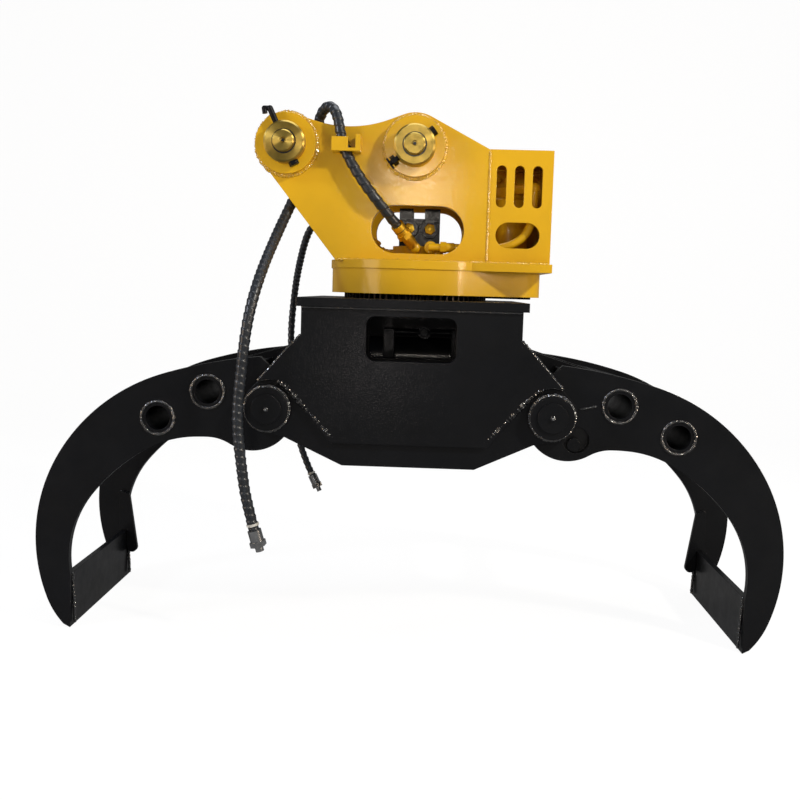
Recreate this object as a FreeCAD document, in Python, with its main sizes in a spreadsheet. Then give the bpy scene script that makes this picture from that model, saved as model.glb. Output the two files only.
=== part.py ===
"""Rotating sorting grapple: two curved claws under a slewing head that hangs on an excavator's stick.

Frame of the model: the slew axis is Z, the claw tips stand on the floor at Z = 0, X runs across
the two claws and the claw pivots lie along Y. All lengths are in millimetres.
"""
import FreeCAD, Part
import math
import os

from FreeCAD import Placement, Rotation, Vector

doc = FreeCAD.newDocument("SortingGrapple")
sheet = doc.addObject("Spreadsheet::Sheet", "Sizes")

SIZES = [
    # heights
    ("pivot_height", 538, "claw pivots above the floor"),
    ("flange_rise", 252, "top face of the lower frame's flange above the pivots"),
    ("flange_plate", 20, "thickness of that flange"),
    ("pivot_half", 320, "claw pivots from the slew axis"),
    ("base_gap", 70, "flange's top to the underside of the head's base plate"),
    ("base_plate", 20, "thickness of the base plate"),
    ("ear_rise", 263, "attachment pins above the base plate"),
    # lower frame
    ("flange_half_x", 260, "half length of the flange"),
    ("flange_half_y", 285, "half width of the flange"),
    ("frame_inside", 244, "slew axis to the inner face of a side plate"),
    ("frame_plate", 20, "side plate thickness"),
    ("doubler_plate", 12, "doubler on the side plate"),
    ("frame_half_x", 247, "half length of the side plate at the flange"),
    ("shoulder_drop", 64, "flange's underside to where the side plate's edge turns out to the ear"),
    ("ear_radius", 58, "round end of the side plate at a pivot"),
    ("belly_half", 150, "half length of the flat underside"),
    ("belly_drop", 126, "flat underside below the pivots"),
    ("haunch_in", 35, "lower corner of the side plate inward of the pivot"),
    ("haunch_drop", 64, "that corner below the pivot"),
    ("belly_plate", 12, "thickness of the belly plate"),
    ("belly_reach", 184, "end of the belly plate's slant"),
    ("doubler_drop", 62, "lower edge of the doubler below the pivots"),
    ("doubler_half", 171, "half length of that edge"),
    ("doubler_over_boss", 66, "doubler's edge clear of the pivot"),
    ("window_half", 101, "half length of the window"),
    ("window_drop", 18, "window below the flange's underside"),
    ("window_height", 100, "height of the window"),
    ("window_corner", 20, "corner radius of the window"),
    ("inner_plate_near", 150, "slew axis to the inner pivot plate"),
    ("inner_plate", 15, "inner pivot plate thickness"),
    ("inner_ear", 48, "round end of the inner plate"),
    ("end_wall_half", 222, "end wall's inner face from the slew axis"),
    ("end_wall_plate", 12, "end wall thickness"),
    ("end_wall_height", 54, "end wall down from the flange"),
    ("pivot_boss", 49, "radius of the boss at a pivot"),
    ("pivot_boss_out", 14, "boss proud of the doubler"),
    ("pivot_pin", 30, "radius of a pivot pin"),
    ("pivot_head", 34, "radius of the pin's head"),
    ("pivot_head_out", 5, "head proud of the boss"),
    ("fit", 0.05, "radial clearance of a running fit"),
    # claws
    ("tine_gap", 4, "running gap between a tine and a side plate"),
    ("tine_plate", 20, "tine thickness"),
    ("lobe_shift", 40, "hub lobe's centre outward of the pivot"),
    ("lobe_drop", 5, "hub lobe's centre below the pivot"),
    ("lobe_radius", 98, "hub lobe"),
    ("crown_out", 23, "inner top corner of a tine outward of the pivot"),
    ("crown_rise", 114, "that corner above the pivot"),
    ("crown_angle", 5.8, "downward slope of the back at the corner, degrees"),
    ("back_arc_a", 1150, "tine back, first arc"),
    ("back_angle_a", 11.1, "its turn in degrees"),
    ("back_arc_b", 435, "tine back, second arc"),
    ("back_angle_b", 42.1, "its turn"),
    ("back_arc_c", 396.6, "tine back, third arc"),
    ("back_angle_c", 52, "its turn"),
    ("back_arc_d", 190, "tine back, last arc"),
    ("back_angle_d", 21.9, "its turn"),
    ("throat_leave_angle", 31, "heading where the throat leaves the lobe, degrees"),
    ("throat_arc_a", 101, "throat, first arc"),
    ("throat_angle_a", 30.5, "its turn"),
    ("throat_arc_b", 489, "throat, second arc"),
    ("throat_angle_b", 3.9, "its turn"),
    ("throat_arc_c", 248, "throat, third arc"),
    ("throat_angle_c", 26.7, "its turn"),
    ("throat_arc_d", 467, "throat, fourth arc"),
    ("throat_angle_d", 20.4, "its turn"),
    ("throat_arc_e", 243.5, "throat, last arc"),
    ("throat_angle_e", 48.9, "its turn"),
    ("tip_out", 464, "tip outward of the pivot"),
    ("blade_plate", 15, "blade thickness"),
    ("hub_radius", 50, "hub sleeve"),
    ("hub_end", 170, "hub sleeve's inner end from the slew axis"),
    ("pipe_radius", 38, "cross pipe"),
    ("pipe_wall", 10, "cross pipe wall"),
    ("left_pipe_a_out", 143, "left claw, upper cross pipe outward of the pivot"),
    ("left_pipe_a_rise", 30, "its centre above the pivot"),
    ("left_pipe_b_out", 258, "left claw, lower cross pipe"),
    ("left_pipe_b_drop", 34, "its centre below the pivot"),
    ("right_pipe_a_out", 155, "right claw, upper cross pipe"),
    ("right_pipe_a_rise", 26, "its centre above the pivot"),
    ("right_pipe_b_out", 291, "right claw, lower cross pipe"),
    ("right_pipe_b_drop", 41, "its centre below the pivot"),
    ("link_hole_x", 60, "link hole outward of the right pivot"),
    ("link_hole_z", 54, "link hole below the right pivot"),
    ("link_hole", 30, "radius of the link hole"),
    ("cover_drop", 12, "top cover below the tine's back"),
    ("cover_plate", 8, "top cover thickness"),
    ("cheek_plate", 12, "cheek plate beside a tine"),
    ("cheek_foot", 15, "cheek's foot proud of the throat"),
    ("cheek_down", 46, "cheek below the blade's top edge"),
    ("cheek_up", 104, "cheek above that edge"),
    ("cheek_out", 20, "cheek outward of that edge"),
    ("cheek_round", 14, "radius of the foot"),
    ("cheek_corner", 6, "radius of the cheek's upper corners"),
    ("weld_gap", 0.3, "gap that a weld bridges"),
    # cylinder and its lugs
    ("close_angle", 67.4, "claw travel in degrees"),
    ("lug_reach", 130, "cylinder pin from the claw pivot"),
    ("lug_near", 55, "slew plane to the inner face of a lug"),
    ("lug_plate", 20, "lug thickness"),
    ("lug_radius", 38, "round end of a lug"),
    ("cylinder_pin", 20, "radius of a cylinder pin"),
    ("barrel_radius", 50, "cylinder barrel"),
    ("barrel_bore", 40, "cylinder bore"),
    ("rod_radius", 25, "piston rod"),
    ("eye_radius", 36, "cylinder eye"),
    ("eye_gap", 3, "side clearance of an eye between its lugs"),
    ("eye_slack", 4, "radial clearance of the rod eye on its pin"),
    ("cap_start", 43, "barrel's end from the left pin"),
    ("cap_plate", 15, "cap thickness"),
    ("gland_length", 34, "gland"),
    ("piston_length", 50, "piston"),
    ("stroke_spare", 10, "cylinder's travel past the claws' own"),
    ("line_radius", 9, "hard line along the barrel"),
    ("line_rise", 5, "that line above the barrel's top"),
    ("line_start", 146, "its port block from the barrel's end"),
    ("line_banjo", 232, "its banjo from the barrel's end"),
    ("line_end", 306, "its clamp from the barrel's end"),
    # crossing link
    ("link_eye_x", 51, "link eye inward of the left pivot"),
    ("link_eye_z", 41, "link eye above the left pivot"),
    ("link_short", 4.7, "link's stub inward of the hole's centre at rest"),
    ("link_low", 11.3, "link's stub below the hole's centre at rest"),
    ("link_pin", 15, "radius of a link pin"),
    ("link_near", 105, "slew plane to the link"),
    ("link_plate", 25, "link thickness"),
    ("link_end", 30, "round end of the link"),
    ("link_waist", 21, "half height of the link's bar"),
    # head
    ("ear_gap", 200, "clear gap between the head's side plates"),
    ("head_plate", 20, "head side plate thickness"),
    ("ear_pitch", 300, "distance between the two attachment pins"),
    ("ear_shift", 7.5, "second pin left of the slew axis"),
    ("stick_lobe", 72, "plate around the first pin"),
    ("link_lobe", 80, "plate around the second pin"),
    ("saddle_radius", 270, "dip between the lobes"),
    ("saddle_out", 142.5, "centre of the dip right of the first pin"),
    ("saddle_rise", 44.5, "lowest point of the dip above the pins"),
    ("head_left", -190, "left foot of the side plates"),
    ("head_right", 168, "right end of the side plates"),
    ("head_right_drop", 1, "top of that end below the pins"),
    ("oval_half", 109, "half length of the side opening"),
    ("oval_x", 3.5, "its centre"),
    ("oval_rise", 73.5, "its centre above the base plate"),
    ("oval_round", 56, "its end radius"),
    ("cross_plate", 12, "plates across between the side plates"),
    ("shelf_rise", 20, "level cross plate above the side opening"),
    ("shelf_reach", 103.5, "its left edge from the middle of that opening"),
    ("attach_pin", 25, "radius of an attachment pin"),
    ("boss_radius", 70, "welded disc at an attachment pin"),
    ("boss_plate", 25, "that disc's thickness"),
    ("collar_radius", 47.5, "pin collar"),
    ("collar_length", 30, "pin collar length"),
    ("pin_out", 15, "pin proud of its collar"),
    ("lock_bolt", 6, "radius of a collar's locking bolt"),
    ("base_radius", 208, "round end of the base plate"),
    ("base_right", 318, "right end of the base plate"),
    ("base_half", 160, "half width of that end"),
    ("guard_half_y", 120, "half width of the motor guard"),
    ("guard_wall", 10, "motor guard wall"),
    ("guard_high", 263, "height of the motor guard"),
    ("slot_pitch", 42, "distance between the guard's slots"),
    ("slot_in", 28, "first slot from the guard's left edge"),
    ("slot_width", 23, "slot width"),
    ("slot_rise", 130, "lower end of a slot above the base plate"),
    ("slot_length", 97, "slot length"),
    ("vent_in", 70, "guard's lower opening from the guard's left edge"),
    ("vent_rise", 66, "its centre above the base plate"),
    ("vent_width", 103, "its width"),
    ("vent_height", 60, "its height"),
    ("skirt_in", 3, "gear guard inside the base plate's round end"),
    ("skirt_bulge", 80, "gear guard round the pinion"),
    ("skirt_wall", 6, "gear guard wall"),
    ("skirt_gap", 12, "gear guard above the flange"),
    # slew drive
    ("gear_module", 5, "tooth module"),
    ("ring_teeth", 68, "teeth of the slew ring"),
    ("pinion_teeth", 22, "teeth of the pinion"),
    ("backlash", 0.5, "play between the teeth at the pitch circle"),
    ("gear_gap", 7, "pinion above the flange"),
    ("gear_width", 40, "pinion width"),
    ("outer_ring_high", 50, "outer ring height"),
    ("outer_ring_bore", 143, "outer ring bore"),
    ("ring_gap", 12, "inner ring above the flange"),
    ("inner_ring_out", 138, "inner ring outside radius"),
    ("inner_ring_bore", 100, "inner ring bore"),
    ("ring_bolt", 5, "radius of a slew ring bolt"),
    ("ball_radius", 8, "slew ring ball"),
    ("ball_rise", 32, "ball circle above the flange"),
    ("ball_count", 24, "balls"),
    ("motor_radius", 46, "slew motor body"),
    ("motor_high", 185, "slew motor body height"),
    ("shaft_radius", 18, "pinion shaft"),
    ("core_radius", 38, "swivel core"),
    ("core_down", 26, "swivel core below the flange"),
    ("swivel_radius", 58, "swivel housing"),
    ("swivel_high", 38, "swivel housing height"),
    ("block_high", 90, "valve block on the swivel"),
    ("block_half", 42, "half width of the valve block"),
    ("clip_out", 108.5, "hose clip's left end right of the first pin"),
    ("clip_drop", 17, "hose clip's underside below the pins"),
    ("clip_length", 66, "hose clip"),
    ("clip_depth", 44, "hose clip out from the side plate"),
    ("clip_wall", 7, "hose clip's plate"),
    ("clip_fit", 1.2, "clearance of the hose in the clip"),
    ("hose_radius", 13.5, "hose over its wrap"),
    ("motor_hose", 10, "short hose from the swivel to the motor"),
    ("crimp_length", 50, "fitting on a hose's end"),
]

for row, (name, value, note) in enumerate(SIZES, 1):
    sheet.set(f"A{row}", note)
    sheet.set(f"B{row}", str(value))
    sheet.setAlias(f"B{row}", name)
doc.recompute()


def size(name):
    """A driving dimension, read from the sheet."""
    return float(sheet.get(name))


def belt(circles):
    """Closed outline drawn counter-clockwise round signed circles (x, y, r); r = 0 is a corner."""
    count = len(circles)
    runs = []
    for i in range(count):
        ax, ay, ar = circles[i]
        bx, by, br = circles[(i + 1) % count]
        reach = math.hypot(bx - ax, by - ay)
        heading = math.atan2(by - ay, bx - ax) - math.asin((br - ar) / reach)
        left = (-math.sin(heading), math.cos(heading))
        start = Vector(ax - ar * left[0], ay - ar * left[1], 0)
        end = Vector(bx - br * left[0], by - br * left[1], 0)
        runs.append((start, end, heading))
    edges = []
    for i in range(count):
        start, end, heading = runs[i]
        edges.append(Part.LineSegment(start, end))
        x, y, r = circles[(i + 1) % count]
        if r == 0:
            continue
        after, _, next_heading = runs[(i + 1) % count]
        sweep = (next_heading - heading) % (2 * math.pi)
        if r < 0:
            sweep -= 2 * math.pi
        middle = heading + sweep / 2
        top = Vector(x + r * math.sin(middle), y - r * math.cos(middle), 0)
        edges.append(Part.Arc(end, top, after))
    return edges


def circle(x, y, radius):
    return [Part.Circle(Vector(x, y, 0), Vector(0, 0, 1), radius)]


def box_outline(x0, y0, x1, y1, corner=0):
    """Rectangle with equal round corners."""
    r = corner
    return belt([(x0 + r, y0 + r, r), (x1 - r, y0 + r, r), (x1 - r, y1 - r, r), (x0 + r, y1 - r, r)])


def obround(x, y, width, height):
    """Slot with full round ends, long side along the larger size."""
    r = min(width, height) / 2
    if width > height:
        return belt([(x - width / 2 + r, y, r), (x + width / 2 - r, y, r)])
    return belt([(x, y - height / 2 + r, r), (x, y + height / 2 - r, r)])


def mirrored(edges):
    """The same outline on the other side of the slew axis."""
    flip = FreeCAD.Matrix()
    flip.A11 = -1
    out = []
    for edge in edges:
        copy = edge.copy()
        if isinstance(copy, Part.Circle):
            out += circle(-copy.Center.x, copy.Center.y, copy.Radius)
        elif isinstance(copy, Part.LineSegment):
            a, b = copy.StartPoint, copy.EndPoint
            out.append(Part.LineSegment(flip.multVec(a), flip.multVec(b)))
        else:
            first, last = copy.FirstParameter, copy.LastParameter
            a, c, b = (copy.value(t) for t in (first, (first + last) / 2, last))
            out.append(Part.Arc(flip.multVec(a), flip.multVec(c), flip.multVec(b)))
    return out


PLANES = {"front": "XZ_Plane", "top": "XY_Plane", "side": "YZ_Plane"}


def add_sketch(body, plane, edges, height=None):
    """Sketch on one of the body's own origin planes, lifted by an expression if need be."""
    sketch = body.newObject("Sketcher::SketchObject", body.Name + "_sketch")
    plane_object = next(f for f in body.Origin.OriginFeatures if f.Role == PLANES[plane])
    sketch.AttachmentSupport = [(plane_object, "")]
    sketch.MapMode = "FlatFace"
    if height:
        sketch.setExpression(".AttachmentOffset.Base.z", height)
    for edge in edges:
        sketch.addGeometry(edge, False)
    return sketch


def add_pad(body, plane, edges, length, height=None):
    pad = body.newObject("PartDesign::Pad", body.Name + "_pad")
    pad.Profile = add_sketch(body, plane, edges, height)
    pad.setExpression("Length", length)
    return pad


def add_pocket(body, plane, edges, length, height=None, backwards=False):
    pocket = body.newObject("PartDesign::Pocket", body.Name + "_pocket")
    pocket.Profile = add_sketch(body, plane, edges, height)
    pocket.setExpression("Length", length)
    pocket.Reversed = backwards
    return pocket


def new_body(label):
    body = doc.addObject("PartDesign::Body", label)
    body.Label = label
    return body


def standing_plate(label, edges, back, thickness):
    """Plate square to Y: its back face lies at the expression `back`."""
    body = new_body(label)
    add_pad(body, "front", edges, thickness)
    body.setExpression("Placement.Base.y", back)
    return body


def flat_plate(label, edges, bottom, thickness):
    """Plate square to Z on the height `bottom`."""
    body = new_body(label)
    add_pad(body, "top", edges, thickness)
    body.setExpression("Placement.Base.z", bottom)
    return body


def turned(label, profile, place=None):
    """Turned piece: the profile is (radius, height) corners, spun about the piece's own Z."""
    body = new_body(label)
    corners = [Vector(r, h, 0) for r, h in profile]
    edges = [Part.LineSegment(a, b) for a, b in zip(corners, corners[1:] + corners[:1])]
    spin = body.newObject("PartDesign::Revolution", label + "_spin")
    sketch = add_sketch(body, "front", edges)
    spin.Profile = sketch
    spin.ReferenceAxis = (sketch, ["V_Axis"])
    spin.Angle = 360
    if place:
        body.Placement = place
    return body


ALONG_Y = Rotation(Vector(1, 0, 0), 90)      # a turned piece's top then points to the front
ALONG_X = Rotation(Vector(0, 1, 0), 90)      # and here to the right


def solid_group(label, shapes):
    """Several like solids that make one piece of the assembly."""
    piece = doc.addObject("Part::Feature", label)
    piece.Label = label
    piece.Shape = shapes[0] if len(shapes) == 1 else Part.makeCompound(shapes)
    return piece


def rod_between(a, b, radius):
    run = b.sub(a)
    return Part.makeCylinder(radius, run.Length, a, run)


def hexagon(radius_in, height, base, axis, spin=0):
    """Hexagon bar: radius_in is half the width across flats."""
    r = radius_in / math.cos(math.pi / 6)
    corners = [Vector(r * math.cos(math.radians(60 * i + spin)), r * math.sin(math.radians(60 * i + spin)), 0)
               for i in range(7)]
    bar = Part.Face(Part.makePolygon(corners)).extrude(Vector(0, 0, height))
    bar.Placement = Placement(base, Rotation(Vector(0, 0, 1), axis))
    return bar



class Path:
    """An open outline grown edge by edge, each arc tangent to what came before."""

    def __init__(self, x, z, heading):
        self.at = Vector(x, z, 0)
        self.heading = math.radians(heading)
        self.edges = []

    def bend(self, radius, degrees):
        """Arc of this radius; positive degrees turn to the left."""
        sweep = math.radians(degrees)
        side = math.copysign(radius, sweep)
        centre = self.at.add(Vector(-side * math.sin(self.heading), side * math.cos(self.heading), 0))
        points = []
        for part in (0.5, 1.0):
            a = self.heading + sweep * part
            points.append(centre.add(Vector(side * math.sin(a), -side * math.cos(a), 0)))
        self.edges.append(Part.Arc(self.at, points[0], points[1]))
        self.at = points[1]
        self.heading += sweep

    def line_to(self, x, z):
        end = Vector(x, z, 0)
        self.edges.append(Part.LineSegment(self.at, end))
        self.at = end


PIVOT_X = size("pivot_half")
PIVOT_Z = size("pivot_height")
FLANGE_TOP = PIVOT_Z + size("flange_rise")
TINE_OUT = size("frame_inside") - size("tine_gap")
CROWN = Vector(PIVOT_X + size("crown_out"), PIVOT_Z + size("crown_rise"), 0)
TIP_X = PIVOT_X + size("tip_out")


# Claws: one tine outline serves both sides, mirrored for the left claw

def throat_path():
    """Inner edge of a tine, from the hub lobe down to the top of the blade."""
    angle = math.radians(size("throat_leave_angle") - 90)
    x = PIVOT_X + size("lobe_shift") + size("lobe_radius") * math.cos(angle)
    z = PIVOT_Z - size("lobe_drop") + size("lobe_radius") * math.sin(angle)
    path = Path(x, z, size("throat_leave_angle"))
    for letter in "abcde":
        path.bend(size("throat_arc_" + letter), -size("throat_angle_" + letter))
    return path


def back_path(inset=0, letters="abcd"):
    """Outer edge of a tine from the crown to the tip, or a line that lies inset under it."""
    slope = math.radians(size("crown_angle"))
    x = CROWN.x - inset * math.sin(slope)
    z = CROWN.y - inset * math.cos(slope)
    path = Path(x, z, -size("crown_angle"))
    for letter in letters:
        path.bend(size("back_arc_" + letter) - inset, -size("back_angle_" + letter))
    return path


THROAT = throat_path()
BLADE_TOP = THROAT.at
HEEL = back_path().at


def tine_outline(pipes, with_link_hole):
    """Crescent tine with its hub lobe, pivot bore and pipe holes."""
    back = back_path()
    back.line_to(TIP_X, 0)
    back.line_to(BLADE_TOP.x, BLADE_TOP.y)
    lobe = Vector(PIVOT_X + size("lobe_shift"), PIVOT_Z - size("lobe_drop"), 0)
    radius = size("lobe_radius")
    away = CROWN.sub(lobe)
    first = math.atan2(away.y, away.x) + math.acos(radius / away.Length)
    last = math.radians(size("throat_leave_angle") - 90) + 2 * math.pi
    rim = [lobe.add(Vector(math.cos(a), math.sin(a), 0) * radius) for a in (first, (first + last) / 2, last)]
    edges = back.edges + THROAT.edges
    edges.append(Part.LineSegment(CROWN, rim[0]))
    edges.append(Part.Arc(rim[0], rim[1], THROAT.edges[0].StartPoint))
    edges += circle(PIVOT_X, PIVOT_Z, size("pivot_pin") + size("fit"))
    for x, z in pipes:
        edges += circle(x, z, size("pipe_radius"))
    if with_link_hole:
        edges += circle(PIVOT_X + size("link_hole_x"), PIVOT_Z - size("link_hole_z"), size("link_hole"))
    return edges


def cheek_outline():
    """Small stiffener inside the rear tine, its rounded foot standing proud of the throat."""
    x = BLADE_TOP.x
    z = BLADE_TOP.y
    gap, corner = size("weld_gap"), size("cheek_corner")
    low, high, out = z - size("cheek_down"), z + size("cheek_up"), x + size("cheek_out")
    return belt([(x - size("cheek_foot"), low, size("cheek_round")), (x - gap, low, 0), (x - gap, z + gap, 0),
                 (out, z + gap, 0), (out - corner, high, corner), (x - corner / 3, high - corner, corner)])


def lug_outline(side_pipe, with_link_eye):
    """Cylinder lug of the right claw: hull of the cylinder pin, the upper cross pipe and, if asked, the link eye."""
    reach, r = size("lug_reach"), size("lug_radius")
    lean = size("close_angle") / 2
    pin_x = PIVOT_X - reach * math.sin(math.radians(lean))
    pin_z = PIVOT_Z + reach * math.cos(math.radians(lean))
    px, pz = side_pipe
    low = (PIVOT_X - size("link_eye_x"), PIVOT_Z + size("link_eye_z"), size("link_end"))
    heart = (PIVOT_X, PIVOT_Z + size("link_eye_z"), size("link_end"))
    corner = low if with_link_eye else heart
    edges = belt([(pin_x, pin_z, r), corner, (px, pz, size("pipe_radius") + 12)])
    edges += circle(pin_x, pin_z, size("cylinder_pin"))
    edges += circle(px, pz, size("pipe_radius"))
    if with_link_eye:
        edges += circle(low[0], low[1], size("link_pin"))
    return edges


LEAN = math.radians(size("close_angle") / 2)
CYLINDER_X = PIVOT_X - size("lug_reach") * math.sin(LEAN)
CYLINDER_Z = PIVOT_Z + size("lug_reach") * math.cos(LEAN)
TINE_IN = TINE_OUT - size("tine_plate")
PIPES = {
    side: [(PIVOT_X + size(side + "_pipe_a_out"), PIVOT_Z + size(side + "_pipe_a_rise")),
           (PIVOT_X + size(side + "_pipe_b_out"), PIVOT_Z - size(side + "_pipe_b_drop"))]
    for side in ("left", "right")
}


def prism(edges, back, thickness):
    """Solid plate square to Y from an outline: its back face lies at `back`."""
    wires = [Part.Wire(group) for group in Part.sortEdges([edge.toShape() for edge in edges])]
    face = Part.Face(wires, "Part::FaceMakerBullseye")
    solid = face.extrude(Vector(0, 0, thickness))
    solid.Placement = Placement(Vector(0, back, 0), ALONG_Y)
    return solid


def make_claw(side):
    def own(edges):
        return mirrored(edges) if side == "left" else edges

    sign = -1 if side == "left" else 1
    pipes = PIPES[side]
    outline = own(tine_outline(pipes, side == "right"))
    front = standing_plate(side + "_tine_front", outline, "-(Sizes.frame_inside - Sizes.tine_gap - Sizes.tine_plate)", "Sizes.tine_plate")
    rear = new_body(side + "_tine_rear")
    add_pad(rear, "front", outline, "Sizes.tine_plate")
    cheek = add_pad(rear, "front", own(cheek_outline()), "Sizes.cheek_plate", "Sizes.tine_plate")
    cheek.Label = side + "_cheek_pad"
    rear.setExpression("Placement.Base.y", "Sizes.frame_inside - Sizes.tine_gap")

    top, tip = BLADE_TOP, Vector(TIP_X, 0, 0)
    blade = [top, tip, HEEL, Vector(top.x + size("blade_plate"), top.y, 0)]
    edges = [Part.LineSegment(a, b) for a, b in zip(blade, blade[1:] + blade[:1])]
    standing_plate(side + "_blade", own(edges), "Sizes.frame_inside - Sizes.tine_gap - Sizes.tine_plate",
                   "2 * (Sizes.frame_inside - Sizes.tine_gap - Sizes.tine_plate)")

    tubes = []
    bore = size("pipe_radius") - size("pipe_wall")
    for x, z in pipes:
        full = 2 * TINE_OUT
        start = Vector(sign * x, -TINE_OUT, z)
        outer = Part.makeCylinder(size("pipe_radius"), full, start, Vector(0, 1, 0))
        tubes.append(outer.cut(Part.makeCylinder(bore, full, start, Vector(0, 1, 0))))
    solid_group(side + "_cross_pipes", tubes)

    sleeves = []
    for y in (-TINE_IN, size("hub_end")):
        start = Vector(sign * PIVOT_X, y, PIVOT_Z)
        length = TINE_IN - size("hub_end")
        outer = Part.makeCylinder(size("hub_radius"), length, start, Vector(0, 1, 0))
        sleeves.append(outer.cut(Part.makeCylinder(size("pivot_pin") + size("fit"), length, start, Vector(0, 1, 0))))
    solid_group(side + "_hub_sleeves", sleeves)

    lug = own(lug_outline(pipes[0], side == "left"))
    lugs = []
    for y in (-size("lug_near"), size("lug_near") + size("lug_plate")):
        lugs.append(prism(lug, y, size("lug_plate")))
    solid_group(side + "_cylinder_lugs", lugs)

    near = back_path(size("cover_drop"), "a")
    far = back_path(size("cover_drop") + size("cover_plate"), "a")
    edges = near.edges + far.edges
    edges.append(Part.LineSegment(near.edges[0].StartPoint, far.edges[0].StartPoint))
    edges.append(Part.LineSegment(near.at, far.at))
    near_lug = size("lug_near")
    far_lug = near_lug + size("lug_plate")
    panels = [prism(own(edges), back, back - front) for front, back in
              ((-TINE_IN, -far_lug), (-near_lug, near_lug), (far_lug, TINE_IN))]
    solid_group(side + "_top_cover", panels)

    reach = size("lug_near") + size("lug_plate")
    pin = [(0, -reach - 6), (size("cylinder_pin") + 8, -reach - 6), (size("cylinder_pin") + 8, -reach),
           (size("cylinder_pin"), -reach), (size("cylinder_pin"), reach + 5), (0, reach + 5)]
    turned(side + "_cylinder_pin", pin, Placement(Vector(sign * CYLINDER_X, 0, CYLINDER_Z), ALONG_Y))
    return front


make_claw("left")
make_claw("right")


# Crossing link between the two claws

def make_link():
    left = Vector(-PIVOT_X + size("link_eye_x"), PIVOT_Z + size("link_eye_z"), 0)
    hole = Vector(PIVOT_X + size("link_hole_x"), PIVOT_Z - size("link_hole_z"), 0)
    right = hole.sub(Vector(size("link_short"), size("link_low"), 0))
    end, waist = size("link_end"), size("link_waist")
    run = right.sub(left)
    run.normalize()
    side = Vector(-run.y, run.x, 0)
    edges = belt([(left.x, left.y, end), (right.x, right.y, end)])
    body = new_body("crossing_link")
    add_pad(body, "front", edges, "Sizes.link_plate")
    bar = left.add(run * (end + 14))
    stop = right.sub(run * (end + 14))
    for way in (1, -1):
        low = side * (way * waist)
        high = side * (way * (end + 2))
        slope = run * (end - waist + 4)
        corners = [bar.add(low), stop.add(low), stop.add(slope).add(high), bar.sub(slope).add(high)]
        cut = [Part.LineSegment(a, b) for a, b in zip(corners, corners[1:] + corners[:1])]
        add_pocket(body, "front", cut, "Sizes.link_plate", backwards=True)
    add_pocket(body, "front", circle(left.x, left.y, size("link_pin") + size("fit")), "Sizes.link_plate",
               backwards=True)
    stub = add_pad(body, "front", circle(right.x, right.y, size("link_pin")),
                   "Sizes.frame_inside - Sizes.tine_gap - Sizes.link_near", None)
    stub.Label = "crossing_link_stub"
    body.setExpression("Placement.Base.y", "-Sizes.link_near")
    reach = size("link_near") + size("link_plate")
    pin = size("link_pin")
    rest = size("lug_near")
    profile = [(0, rest), (pin, rest), (pin, reach + 0.3), (pin + 8, reach + 0.3), (pin + 8, reach + 6), (0, reach + 6)]
    turned("left_link_pin", profile, Placement(Vector(left.x, 0, left.y), ALONG_Y))


make_link()


# Cylinder between the claws' upper lugs, retracted while the claws stand open

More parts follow.
